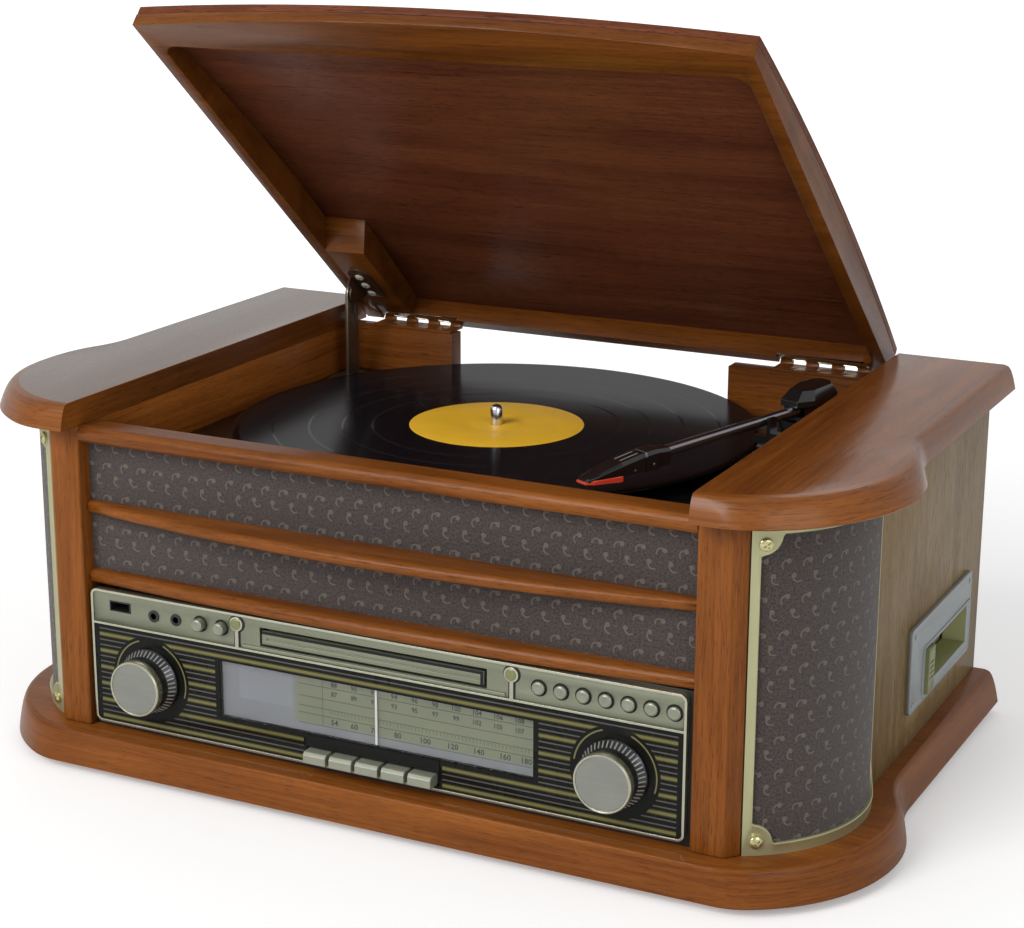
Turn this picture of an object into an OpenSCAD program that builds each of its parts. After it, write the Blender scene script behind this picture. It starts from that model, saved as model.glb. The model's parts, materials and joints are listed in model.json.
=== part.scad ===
// Retro music centre in a wooden cabinet: turntable under a propped lid, dial radio, disc drawer
// and cassette slot.
// Origin: centre of the footprint, at the foot of the rubber feet. X runs to the viewer's right,
// Y to the back and Z up. All sizes are in millimetres.

/* [Cabinet] */
// Half width over the outer faces of the side panels
side_x = 235.6; // [234:0.2:237]
// Half width of the well between the inner walls
well_x = 179.5; // [179.2:0.1:180]
// Height of the rubber feet
foot_h = 5; // [4:0.5:7]
// Height of the base board's top face
base_top = 24.9; // [22:0.1:26]
// Height of the carcass, under the wing boards
carcass_top = 197; // [196:0.2:197.4]
// Thickness of the two wing boards
wing_t = 14.3; // [12:0.1:18]
// Rear plane of the sides, wings and base
rear_y = 158.7; // [157.5:0.1:162]
// Thickness of the side panels
side_t = 9; // [6:0.5:12]
// Thickness of the inner walls
inner_t = 8; // [5:0.5:12]
// Radius of the rounded front corner in plan, at the top edge of its moulding
nose_r = 89.06; // [88:0.02:92]
// Radius of the corner's flank, behind the nose
flank_r = 82.5; // [80:0.1:85]
// Radius of the hollow neck that runs back into the straight side
neck_r = 68; // [60:0.5:72]
// Angle over which the flank turns before the neck begins
neck_angle = 25.05; // [22:0.05:27]
// How far the wing's moulded edge swells out from top to bottom
wing_swell = 6.4; // [4:0.1:8]
// How far the base's moulded edge swells out from top to bottom
base_swell = 6; // [4:0.1:8]

/* [Speaker corners] */
// Radius of the gilt trim frame's outer face
trim_r = 76.5; // [76:0.1:78]
// Width of the trim frame's bars
trim_w = 6; // [4:0.5:8]
// How far the trim stands proud of the cloth
trim_t = 2; // [1:0.1:3]
// Radius of the screw lugs in the frame's corners
lug_r = 13; // [10:0.5:16]
// Thickness of the curved baffle behind the cloth
baffle_t = 6; // [4:0.5:8]

/* [Turntable] */
// Height of the deck's top face
deck_top = 168.5; // [168:0.1:169]
// Thickness of the deck plate
deck_t = 4; // [3:0.5:5]
// Radius of the platter
platter_r = 100; // [90:1:110]
// Radius of the record
record_r = 150.7; // [150:0.1:151]
// Radius of the record's paper label
label_r = 50; // [45:0.5:52]
// Radius of the centre spindle
spindle_r = 3.55; // [3.5:0.01:3.6]
// Length of the tonearm from pivot to stylus
arm_len = 189; // [186:0.5:190]
// Angle of the parked tonearm, turned in from the front
arm_park = 17.6; // [16.5:0.1:18]
// Radius of the tonearm tube
tube_r = 3.4; // [2.5:0.1:4]

/* [Lid] */
// Half width of the lid
lid_x = 176.6; // [175:0.1:177.5]
// Angle at which the propped lid stands open
lid_open = 39.85; // [30:0.05:39.85]
// Length of the lid's sides
lid_len = 321.5; // [318:0.5:322]
// Rise of the bow in the lid's front edge
lid_bow = 12.5; // [6:0.5:14]
// Greatest thickness of the domed lid
lid_h = 22.3; // [21:0.1:24]
// Thickness of the curved board over the rim
board_t = 5; // [4:0.5:6]
// Width of the stay bar
stay_w = 13; // [10:0.5:13]

/* [Front panel] */
// Plane of the fascia's face
fascia_y = -151.5; // [-152:0.1:-151]
// Half width of the fascia
fascia_x = 175.9; // [175:0.1:177]
// Height of the fascia's lower edge
fascia_z0 = 28.5; // [28:0.1:29]
// Height of the fascia's upper edge
fascia_z1 = 106.1; // [105.8:0.1:106.5]
// Height of the bar between the button strip and the dial panel
divider_z = 86.6; // [86.4:0.1:86.8]
// Distance of the two knobs from the middle
knob_x = 138.3; // [136:0.1:140]
// Height of the knobs' axis
knob_z = 58.4; // [56:0.1:60]
// Radius of the knobs' face
knob_r = 15.3; // [14:0.1:16]
// Half width of the dial window
dial_x = 93.4; // [90:0.1:95]
// Half width of the disc drawer's front
drawer_x = 65.8; // [64.5:0.1:66]
// Distance between the round push buttons
button_pitch = 12.17; // [11:0.01:12.3]
// Distance between the selector keys
key_pitch = 15.7; // [15:0.1:16]

/* [Hidden] */

eps = 0.02;                 // overshoot of a cutting tool
gap = 0.3;                  // clearance between pieces that move past each other
fit = 0.05;                 // clearance of a running fit
round_fn = 96;
wide_fn = 720;              // for arcs of more than half a metre radius

// Plan of the rounded corners
nose_c = [168.5, -78];
flank_c = [nose_c.x + nose_r - flank_r, nose_c.y];
neck_c = flank_c + (flank_r + neck_r) * [cos(neck_angle), sin(neck_angle)];
wing_front = 81.95;         // nose centre to the wing's front line, top edge
wing_front_low = 88.4;      // the same at the lower edge
base_front = 86;
base_front_low = 87;
edge_power = 0.43;          // shape of the moulded edge, from top to bottom
edge_steps = [1, 0.65, 0.35, 0.15, 0.04, 0];

// Corner posts
column_x = 179.1;
column_y = -153;
column_back = -135;
column_cut = 197.3;         // where the post's outer corner is bevelled

// Front rails
rail_top_z = 187.5;
rail_mid_z = [147, 154];
rail_low_z = [107, 115];
rail_mid_bow = [148, 165.2];
rail_low_bow = [148.3, 156];
cloth_y = -143.5;
cloth_t = 6;

// Speaker corner
trim_flank = 6.2;           // the flank arc's centre lies this much further out
corner_a0 = -62.5;
corner_a1 = 30;
side_front = -42.8;
screw_z = [32.1, 184.6];
screw_a = -57.3;

// Rear wall
notch_x = [-105.5, 81.5];
notch_z = 171.5;
wall_y = [138.6, 150.6];
rear_plate = [[-50, 45], [50, 79]];
vent_count = 8;             // air slots on each side of the rear sockets
vent_x = 82;
vent_pitch = 9;
vent_w = 3.6;
vent_z = [44, 80];

// Turntable
record_c = [-12.7, 17.6];
platter_z = deck_top + 1;
mat_top = 177;
record_t = 1.5;
bearing_r = 5;              // the platter turns on this shoulder of the spindle
bearing_top = 176;
relief_r = 3;               // the spindle is relieved where the record lies
pin_z = [178.6, 187.5];
arm_c = [150.5, 85.65];
arm_z = 196;
arm_rest_t = 52;            // distance of the arm rest from the pivot
arm_base_r = 17;
arm_base_top = 186;
arm_shaft_r = 4;
pitch_t = 13;               // distance of the tipping axis from the pivot
tube_end = 146;
cue = [163, 50];
switch_c = [162, -62];

// Lid
lid_p0 = [140.4, 211.5];    // y and z of the lid's reference line
hinge_y = 158;
hinge_z = 201.2;
hinge_r = 2.6;
hinge_pin_r = 1.3;
hinge_x0 = 108;
knuckle = 8;
knuckles = 7;
lid_back = -20;
dome_k = 0.00028;
dome_r = 1 / (2 * dome_k);
dome_s = 111;
rim_in = 8.4;               // width of the rim's side bars
rim_s0 = -12;
rim_s1 = 283;
rim_corner = 10;
stay_s = 24.58;
stay_h = -6.83;
stay_x = [-166.9, -165.1];
stay_len = 73.5;

// Front panel
plate_t = 4;
chassis_y = fascia_y + plate_t;
chassis_t = 3;
frame_w = 1.4;
frame_proud = 0.7;
window_z = [45.8, 77.5];
strip_z = 95.7;
button_r = 3.5;
button_hole = 4.1;
button_x0 = 96.4;
side_buttons = [-104.8, -91.3];
side_button_z = 96.5;
usb = [-156.9, 97.5];
usb_size = [13.6, 5.8];
jacks = [[-134.8, 95.8], [-120.5, 96]];
jack_r = 1.8;
jack_len = 13.5;
board_x = [-168, -113];     // the board behind the front sockets
board_z = [89, 104];
drawer_z = [91.6, 99.1];
drawer_gap = 1.5;
drawer_len = 130;
disc_r = 60.5;
tray_y0 = fascia_y + 1.6;
tray_z = [92.2, 98.4];
tray_x = 63.5;
disc_y = tray_y0 + 4 + disc_r;
ornament_x = 81.4;
ornament_z = 100.4;
key_z = [31.5, 38];
key_w = 14.2;

// Cassette bay
bay_y = [15.2, 131.8];
bay_z = [45.5, 94.5];
bay_cut_y = [40, 128];
bay_cut_z = [49.5, 76.5];
bay_wall = 1.5;
flap_y = [55.5, 125];
flap_z = [52, 74.6];

// Helpers

function arc(c, r, a0, a1, n) =
    [for (i = [0 : n]) let (a = a0 + (a1 - a0) * i / n) c + r * [cos(a), sin(a)]];

// Right half of the cabinet's plan, swollen by d, with its front line f ahead of the nose's centre
function corner_plan(d, f) =
    let (
        rb = nose_r + d,
        ra = (f - sin(60) * rb) / (1 - sin(60)),
        ca = nose_c + (rb - ra) * [cos(60), -sin(60)],
        neck_x = neck_c.x - (neck_r - d) * cos(neck_angle - 1)
    )
    concat(
        arc(ca, ra, -90, -60, 4),
        [for (p = arc(nose_c, rb, -60, 0, 14)) if (p.y > nose_c.y - rb * sin(59)) p],
        [for (p = arc(flank_c, flank_r + d, 0, neck_angle, 5)) if (p.y > nose_c.y + 1) p],
        [for (p = arc(neck_c, neck_r - d, 180 + neck_angle, 180, 7)) if (p.x < neck_x) p],
        [[neck_c.x - neck_r + d, rear_y]]
    );

function flip(points) = [for (i = [len(points) - 1 : -1 : 0]) [-points[i].x, points[i].y]];

// Solid through closed rings of equal length, the lowest first, each counter-clockwise from above
module loft(rings) {
    n = len(rings[0]);
    m = len(rings);
    walls = [
        for (k = [0 : m - 2], i = [0 : n - 1])
            each [
                [k * n + i, (k + 1) * n + i, (k + 1) * n + (i + 1) % n],
                [k * n + i, (k + 1) * n + (i + 1) % n, k * n + (i + 1) % n]
            ]
    ];
    polyhedron(
        points = [for (r = rings) each r],
        faces = concat([[for (i = [0 : n - 1]) i]], walls, [[for (i = [n - 1 : -1 : 0]) (m - 1) * n + i]])
    );
}

module mirror_x() {
    children();
    mirror([1, 0, 0]) children();
}

// Box from its two corners
module block(a, b) {
    translate(a) cube(b - a);
}

module round_rect(a, b, r) {
    translate([a.x + r, a.y]) square([b.x - a.x - 2 * r, b.y - a.y]);
    translate([a.x, a.y + r]) square([b.x - a.x, b.y - a.y - 2 * r]);
    for (x = [a.x + r, b.x - r], y = [a.y + r, b.y - r])
        translate([x, y]) circle(r = r, $fn = 48);
}

// Stands a drawing of the front, in x and z, up between two y planes
module front(y0, y1) {
    translate([0, y1, 0]) rotate([90, 0, 0]) linear_extrude(height = y1 - y0) children();
}

// Rod along the y axis between two planes
module rod_y(x, z, r, y0, y1, fn = 48) {
    translate([x, y0, z]) rotate([-90, 0, 0]) cylinder(r = r, h = y1 - y0, $fn = fn);
}

module rod_x(y, z, r, x0, x1, fn = 48) {
    translate([x0, y, z]) rotate([0, 90, 0]) cylinder(r = r, h = x1 - x0, $fn = fn);
}

// Cabinet

module base_plinth() {
    steps = edge_steps;
    color([0.45, 0.22, 0.10])
    loft([
        for (t = steps)
            let (
                p = pow(t, edge_power),
                half = corner_plan(base_swell * p, base_front + (base_front_low - base_front) * p),
                z = base_top - t * (base_top - foot_h)
            )
            [for (q = concat(flip(half), half)) [q.x, q.y, z]]
    ]);
}

module feet() {
    color([0.08, 0.08, 0.08])
    for (x = [-212, 212], y = [-105, 135])
        translate([x, y, 0]) {
            cylinder(r = 11, h = 2, $fn = round_fn);
            translate([0, 0, 2]) cylinder(r = 12, h = foot_h - 2, $fn = round_fn);
        }
}

module side_panels() {
    color([0.42, 0.26, 0.15])
    difference() {
        mirror_x() block([side_x - side_t, side_front, base_top], [side_x, rear_y, carcass_top]);
        block(
            [side_x - side_t - 1, bay_cut_y[0] - bay_wall - 0.1, bay_cut_z[0] - bay_wall - 0.1],
            [side_x + 1, bay_cut_y[1] + bay_wall + 0.1, bay_cut_z[1] + bay_wall + 0.1]
        );
    }
}

module inner_walls() {
    color([0.45, 0.20, 0.10])
    mirror_x() {
        block([well_x, column_back, base_top], [well_x + inner_t, 138.6, carcass_top]);
        // Ledge that carries the deck
        block([well_x - 7, -130, deck_top - deck_t - 8], [well_x, 130, deck_top - deck_t]);
    }
}

module columns() {
    color([0.50, 0.24, 0.10])
    mirror_x()
    translate([0, 0, base_top]) linear_extrude(height = carcass_top - base_top)
    polygon([
        [column_x, column_y], [column_cut, column_y],
        nose_c + (trim_r - 0.25) * [cos(-62.8), sin(-62.8)],
        nose_c + (trim_r - trim_t - baffle_t) * [cos(-62.8), sin(-62.8)],
        [column_cut, column_back], [column_x, column_back]
    ]);
}

module wings() {
    color([0.48, 0.24, 0.11])
    mirror_x()
    loft([
        for (t = edge_steps)
            let (
                p = pow(t, edge_power),
                half = corner_plan(wing_swell * p, wing_front + (wing_front_low - wing_front) * p),
                z = carcass_top + wing_t * (1 - t)
            )
            [for (q = concat([[well_x, rear_y], [well_x, half[0].y]], half)) [q.x, q.y, z]]
    ]);
}

module rear_wall() {
    color([0.40, 0.20, 0.10])
    front(wall_y[0], wall_y[1])
    difference() {
        translate([-side_x + side_t, base_top])
            square([2 * (side_x - side_t), carcass_top - base_top]);
        round_rect([notch_x[0], notch_z], [notch_x[1], carcass_top + 20], 3);
        translate(rear_plate[0]) square(rear_plate[1] - rear_plate[0]);
        for (s = [-1, 1], i = [0 : vent_count - 1])
            let (x = s * (vent_x + vent_pitch * i))
            round_rect([x - vent_w / 2, vent_z[0]], [x + vent_w / 2, vent_z[1]], vent_w / 2 - 0.05);
    }
}

// Bull-nosed rail, straight or bowed: its front line runs from end_y at the posts to mid_y
module bowed_rail(z, end_y, mid_y) {
    rise = mid_y - end_y;
    r = (column_x * column_x + rise * rise) / (2 * rise);
    nose = (z[1] - z[0]) / 2;
    intersection() {
        translate([0, r - mid_y, (z[0] + z[1]) / 2])
        rotate_extrude($fn = wide_fn) {
            translate([r - nose, 0]) circle(r = nose, $fn = 48);
            translate([r - 40, -nose]) square([40 - nose, 2 * nose]);
        }
        block([-column_x, -mid_y - 5, z[0] - 1], [column_x, cloth_y, z[1] + 1]);
    }
}

module front_rails() {
    nose = (carcass_top - rail_top_z) / 2;
    color([0.50, 0.20, 0.09]) {
        block([-column_x, column_y - 0.5 + nose, rail_top_z], [column_x, -136.7, carcass_top]);
        rod_x(column_y - 0.5 + nose, rail_top_z + nose, nose, -column_x, column_x);
        bowed_rail(rail_mid_z, rail_mid_bow[0], rail_mid_bow[1]);
        bowed_rail(rail_low_z, rail_low_bow[0], rail_low_bow[1]);
    }
}

module front_cloth() {
    color([0.25, 0.20, 0.20])
    block([-column_x, cloth_y, rail_low_z[0]], [column_x, cloth_y + cloth_t, rail_top_z]);
}

// Curved sheet that follows the speaker corner: out is its outer radius round the nose
module corner_sheet(out, t, z0, z1, a0 = corner_a0, a1 = corner_a1) {
    far = 2 * out;
    end = min(a1, 0);
    if (a0 < 0)
        intersection() {
            translate([nose_c.x, nose_c.y, z0]) difference() {
                cylinder(r = out, h = z1 - z0, $fn = round_fn * 2);
                translate([0, 0, -1]) cylinder(r = out - t, h = z1 - z0 + 2, $fn = round_fn * 2);
            }
            translate([nose_c.x, nose_c.y, z0]) linear_extrude(height = z1 - z0)
                polygon([[0, 0], far * [cos(a0), sin(a0)], far * [1, -0.6], far * [cos(end), sin(end)]]);
        }
    if (a1 > 0)
        intersection() {
            translate([nose_c.x + trim_flank, nose_c.y, z0]) difference() {
                cylinder(r = out - trim_flank, h = z1 - z0, $fn = round_fn * 2);
                translate([0, 0, -1])
                    cylinder(r = out - trim_flank - t, h = z1 - z0 + 2, $fn = round_fn * 2);
            }
            translate([nose_c.x + trim_flank, nose_c.y, z0]) linear_extrude(height = z1 - z0)
                polygon([[0, 0], far * [cos(max(a0, 0)), sin(max(a0, 0))], far * [cos(a1), sin(a1)]]);
        }
}

module speaker_cloths() {
    color([0.24, 0.20, 0.20])
    mirror_x() corner_sheet(trim_r - trim_t, baffle_t, base_top, carcass_top);
}

module trim_screw(z) {
    translate([nose_c.x, nose_c.y, z]) rotate([0, 0, screw_a])
    translate([trim_r - 0.4, 0, 0]) rotate([0, 90, 0])
    difference() {
        union() {
            cylinder(r = 3.4, h = 0.9, $fn = 48);
            translate([0, 0, 0.9]) cylinder(r1 = 3.4, r2 = 2.2, h = 0.7, $fn = 48);
        }
        for (turn = [0, 90])
            rotate([0, 0, turn]) translate([-2.1, -0.45, 0.8]) cube([4.2, 0.9, 2]);
    }
}

module speaker_trims() {
    bar_a = trim_w / trim_r * 180 / PI;
    color([0.62, 0.60, 0.44])
    mirror_x() {
        difference() {
            corner_sheet(trim_r, trim_t, base_top, carcass_top);
            difference() {
                corner_sheet(
                    trim_r + 1, trim_t + 2, base_top + trim_w, carcass_top - trim_w,
                    corner_a0 + bar_a, corner_a1 - bar_a * 0.8
                );
                // Quarter-round lugs beside the post
                for (z = [base_top, carcass_top])
                    translate([nose_c.x, nose_c.y, z]) rotate([0, 0, corner_a0])
                        rotate([0, 90, 0]) cylinder(r = lug_r, h = trim_r + 5, $fn = round_fn);
            }
            for (z = screw_z)
                translate([nose_c.x, nose_c.y, z]) rotate([0, 0, screw_a]) rotate([0, 90, 0])
                    cylinder(r = 3.5, h = trim_r + 5, $fn = 48);
        }
        for (z = screw_z) trim_screw(z);
    }
}

// Full-range driver on the curved baffle's inner side, facing out through the cloth
module speaker_drivers() {
    color([0.15, 0.15, 0.16])
    mirror_x()
    translate([nose_c.x, nose_c.y, 111]) rotate([0, 0, -28]) rotate([0, 90, 0])
    translate([0, 0, 30])
    rotate_extrude($fn = round_fn)
        polygon([
            [0, 0], [16, 0], [16, 9], [11, 9], [14, 16], [26, 28], [30, 28], [30, 30.5],
            [24, 30.5], [24, 28], [10, 18], [0, 18]
        ]);
}

// Turntable deck

module stay_slot(z0, z1) {
    block([stay_x[0] - 0.6, 105, z0], [stay_x[1] + 0.6, 124.3, z1]);
}

module arm_rest() {
    p = arm_c - arm_rest_t * [sin(arm_park), cos(arm_park)];
    translate([p.x, p.y, 0]) rotate([0, 0, -arm_park]) {
        translate([17, 0, deck_top]) cylinder(r = 4, h = 15, $fn = 48);
        // Saddle with a hook outside the tube
        difference() {
            block([-5.5, -3, 183.2], [17, 3, 190]);
            block([-6, -4, 187.2], [tube_r + 0.5, 4, 200]);
        }
        block([tube_r + 0.5, -3, 190], [tube_r + 3, 3, 198]);
    }
}

module deck_plate() {
    color([0.07, 0.07, 0.08]) {
        difference() {
            union() {
                block(
                    [-well_x + 0.5, -137.4, deck_top - deck_t],
                    [well_x - 0.5, wall_y[0] - 0.1, deck_top]
                );
                translate([arm_c.x, arm_c.y, deck_top]) {
                    cylinder(r = arm_base_r + 3, h = 2.5, $fn = round_fn);
                    cylinder(r = arm_base_r, h = arm_base_top - deck_top, $fn = round_fn);
                }
                for (x = [cue.x - 5.5, cue.x + 2.5])
                    block([x, cue.y - 5, deck_top], [x + 3, cue.y + 5, deck_top + 9.5]);
            }
            stay_slot(deck_top - deck_t - 1, deck_top + 1);
            translate([arm_c.x, arm_c.y, deck_top - 1])
                cylinder(r = arm_shaft_r + 0.05, h = 30, $fn = 64);
            translate([record_c.x, record_c.y, deck_top - deck_t - 1])
                cylinder(r = 9, h = deck_t + 2, $fn = 64);
            rod_x(cue.y, deck_top + 5.5, 1.25, cue.x - 10, cue.x + 10);
            block(
                [switch_c.x - 1.8, switch_c.y - 10, deck_top - deck_t - 1],
                [switch_c.x + 1.8, switch_c.y + 10, deck_top + 1]
            );
        }
        arm_rest();
    }
}

// Steel spindle on its bearing flange, fixed under the deck
module spindle() {
    color([0.75, 0.75, 0.77])
    translate([record_c.x, record_c.y, 0])
    rotate_extrude($fn = round_fn)
        polygon([
            [0, 150], [8.95, 150], [8.95, deck_top], [6, deck_top], [6, deck_top + 0.6],
            [bearing_r, deck_top + 0.6], [bearing_r, bearing_top - gap], [relief_r, bearing_top - gap],
            [relief_r, pin_z[0]], [spindle_r, pin_z[0]], [spindle_r, pin_z[1]],
            [2.6, pin_z[1] + 1.8], [1, pin_z[1] + 2.5], [0, pin_z[1] + 2.5]
        ]);
}

module stay_guide() {
    color([0.70, 0.70, 0.68])
    difference() {
        translate([0, 0, deck_top]) linear_extrude(height = 0.9)
            round_rect([-175.8, 101], [-162.5, 128.4], 3);
        stay_slot(deck_top - 1, deck_top + 2);
        for (y = [103, 126.4])
            translate([-166, y, deck_top + 0.4]) cylinder(r = 1.2, h = 2, $fn = 32);
    }
}

module platter() {
    color([0.12, 0.12, 0.13])
    translate([record_c.x, record_c.y, 0])
    difference() {
        rotate_extrude($fn = round_fn * 2)
            polygon([
                [bearing_r + fit, platter_z + 0.5], [10, platter_z + 0.5], [10, platter_z + 3.5],
                [platter_r - 4, platter_z + 3.5], [platter_r - 4, platter_z], [platter_r, platter_z],
                [platter_r, platter_z + 5], [platter_r - 1, platter_z + 6], [platter_r - 3, platter_z + 6],
                [platter_r - 3, mat_top], [spindle_r + fit, mat_top], [spindle_r + fit, bearing_top],
                [bearing_r + fit, bearing_top]
            ]);
        // Drive window in the dish's web
        for (a = [60, 240])
            rotate([0, 0, a]) translate([60, 0, platter_z - 1]) cylinder(r = 9, h = 5.5, $fn = 48);
    }
}

module record_disc() {
    translate([record_c.x, record_c.y, mat_top]) {
        color([0.03, 0.03, 0.03])
        rotate_extrude($fn = round_fn * 2)
            polygon([
                [spindle_r + fit, 0.1], [label_r + 2, 0.1], [label_r + 2, 0], [record_r - 0.6, 0],
                [record_r, 0.5], [record_r, 1], [record_r - 0.6, record_t], [record_r - 3, 1.35],
                [label_r + 2, 1.3], [label_r, 1.3], [spindle_r + fit, 1.3]
            ]);
        color([0.85, 0.55, 0.10])
        translate([0, 0, 1.3]) difference() {
            cylinder(r = label_r, h = 0.2, $fn = round_fn * 2);
            translate([0, 0, -1]) cylinder(r = spindle_r + fit, h = 3, $fn = round_fn);
        }
    }
}

// Places a piece of the tonearm: its y axis runs from the pivot to the stylus
module arm_place() {
    translate([arm_c.x, arm_c.y, 0]) rotate([0, 0, 180 - arm_park]) children();
}

module arm_yoke() {
    cap = [[-8, 30], [-14, 8], [-15, -6], [-8, -15], [8, -15], [15, -6], [14, 8], [8, 30]];
    color([0.06, 0.06, 0.07])
    arm_place() {
        difference() {
            union() {
                translate([0, 0, arm_base_top + 0.4]) cylinder(r = 14, h = 3.2, $fn = round_fn);
                translate([0, 0, 189.6]) linear_extrude(height = 12.4) polygon(cap);
                translate([0, 0, 202]) linear_extrude(height = 4)
                    polygon([for (p = cap) [p.x * 0.82, (p.y - 6) * 0.84 + 5]]);
            }
            // Fork that the tube tips in
            block([-tube_r - 0.7, 6, 191], [tube_r + 0.7, 31, 201.5]);
            rod_x(13, arm_z, 1.55, -20, 20);
        }
        translate([0, 0, 172]) cylinder(r = arm_shaft_r, h = 15, $fn = 64);
    }
}

module arm_tube() {
    color([0.10, 0.10, 0.11])
    arm_place() {
        translate([0, 9, arm_z]) rotate([-90, 0, 0]) cylinder(r = tube_r, h = tube_end - 9, $fn = 48);
        rod_x(pitch_t, arm_z, 1.5, -12.5, 12.5);
    }
}

// Boxed headshell: a collar on the tube, then a body that slopes down to the cartridge
module headshell() {
    color([0.07, 0.07, 0.08])
    arm_place() {
        difference() {
            block([-6, tube_end - 4, arm_z - 6], [6, tube_end + 10, arm_z + 5]);
            translate([0, tube_end - 5, arm_z]) rotate([-90, 0, 0]) cylinder(r = tube_r, h = 5, $fn = 48);
        }
        translate([6.5, 0, 0]) rotate([90, 0, -90]) linear_extrude(height = 13)
            polygon([
                [-(tube_end + 10), arm_z - 6], [-(tube_end + 10), arm_z + 4], [-(tube_end + 28), arm_z + 1],
                [-(arm_len + 5), arm_z - 3.5], [-(arm_len + 6), arm_z - 5.5], [-(arm_len - 20), arm_z - 5]
            ]);
    }
}

module stylus() {
    color([0.90, 0.25, 0.12])
    arm_place() {
        translate([5.5, 0, 0]) rotate([90, 0, -90]) linear_extrude(height = 11)
            polygon([
                [-(arm_len - 19), arm_z - 5.02], [-(arm_len + 5.5), arm_z - 5.52],
                [-(arm_len + 4), arm_z - 7.6], [-(arm_len - 19), arm_z - 7]
            ]);
        translate([0, arm_len, 187]) cylinder(r1 = 0.3, r2 = 0.9, h = 2.5, $fn = 24);
    }
}

module cue_lever() {
    color([0.08, 0.08, 0.09])
    translate([cue.x, cue.y, deck_top + 5.5]) {
        rod_x(0, 0, 1.2, -5.5, 5.5);
        rod_x(0, 0, 3.2, -2.2, 2.2);
        rotate([-20, 0, 0]) {
            block([-1.8, -22, -1.2], [1.8, -2, 1.2]);
            translate([0, -22, -1.2]) cylinder(r = 4, h = 2.4, $fn = 48);
        }
    }
}

module speed_switch() {
    color([0.55, 0.55, 0.57])
    translate([switch_c.x, switch_c.y, 0]) {
        block([-1.4, -3, deck_top - 8], [1.4, 3, deck_top + 0.4]);
        difference() {
            block([-3.5, -5, deck_top + 0.4], [3.5, 5, deck_top + 4.5]);
            for (y = [-3, 0, 3])
                block([-4, y - 0.4, deck_top + 3.9], [4, y + 0.4, deck_top + 5]);
        }
    }
}

// Lid: drawn shut, with its underside at z = 0 and its sides running to -y, then propped open

module lid_place() {
    translate([0, lid_p0[0], lid_p0[1]]) rotate([-lid_open, 0, 0]) children();
}

// Everything under the lid's curved top, sunk by d
module under_dome(d) {
    translate([-lid_x - 10, -dome_s, lid_h - dome_r]) rotate([0, 90, 0])
        cylinder(r = dome_r - d, h = 2 * lid_x + 20, $fn = 2 * wide_fn);
}

module lid_plan(h) {
    front_r = (lid_x * lid_x + lid_bow * lid_bow) / (2 * lid_bow);
    intersection() {
        block([-lid_x, -(lid_back + lid_len + lid_bow), 0], [lid_x, -lid_back, h]);
        translate([0, -(lid_back + lid_len + lid_bow) + front_r, -1])
            cylinder(r = front_r, h = h + 2, $fn = wide_fn);
    }
}

module lid_recess(z0, z1) {
    translate([0, 0, z0]) linear_extrude(height = z1 - z0)
        round_rect([-lid_x + rim_in, -rim_s1], [lid_x - rim_in, -rim_s0], rim_corner);
}

module hinge_mortises() {
    for (s = [-1, 1])
        translate([s * (hinge_x0 + knuckle * knuckles / 2), 0, 0]) {
            w = knuckle * knuckles / 2 + 0.5;
            block([-w, 16.7, -1], [w, 21, 6.5]);
            block([-w, 11.5, -1], [w, 17, 2.1]);
            block([-w, 2.4, -1], [w, 12, 0.9]);
        }
}

module lid_board() {
    color([0.42, 0.20, 0.10])
    lid_place() difference() {
        intersection() {
            lid_plan(40);
            under_dome(0);
        }
        under_dome(board_t);
    }
}

module lid_rim() {
    color([0.48, 0.22, 0.10])
    lid_place() difference() {
        intersection() {
            lid_plan(40);
            under_dome(board_t);
        }
        lid_recess(-1, 40);
        hinge_mortises();
    }
}

// Corner block that the stay's bracket is screwed to
module stay_block() {
    color([0.45, 0.19, 0.09])
    lid_place() difference() {
        intersection() {
            translate([-lid_x + rim_in, 0, 0]) rotate([90, 0, 90]) linear_extrude(height = 27.5)
                polygon([[-rim_s0, 0], [-66, 0], [-80, 20], [-rim_s0, 20]]);
            under_dome(board_t);
            // The block's rear corner follows the recess
            lid_recess(-1, 40);
        }
        hinge_mortises();
    }
}

module stay_bracket() {
    color([0.72, 0.70, 0.62])
    lid_place() {
        translate([0, 0, -1.2]) linear_extrude(height = 1.2) {
            translate([-164.2, -45 + 7]) square([15.2, 26]);
            translate([-156.6, -45 + 7.6]) circle(r = 7.6, $fn = 48);
        }
        difference() {
            union() {
                block([-164.2, -36, -7], [-163, -13, -1]);
                rod_x(-stay_s, stay_h, 6, -164.2, -163);
            }
            block([-165, -40, -0.6], [-160, -10, 2]);
        }
        // Rivet
        rod_x(-stay_s, stay_h, 2, stay_x[0] - 0.2, -164);
        rod_x(-stay_s, stay_h, 3.2, stay_x[0] - 1, stay_x[0] - 0.15);
        for (s = [17, 27, 37])
            translate([-156.4, -s, -2.2]) cylinder(r1 = 2.2, r2 = 3.2, h = 1, $fn = 32);
    }
}

module knuckle_row(first) {
    for (k = [first : 2 : knuckles - 1])
        rod_x(
            hinge_y, hinge_z, hinge_r,
            hinge_x0 + k * knuckle + (k > 0 ? 0.15 : 0),
            hinge_x0 + (k + 1) * knuckle - (k < knuckles - 1 ? 0.15 : 0), 64
        );
}

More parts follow.
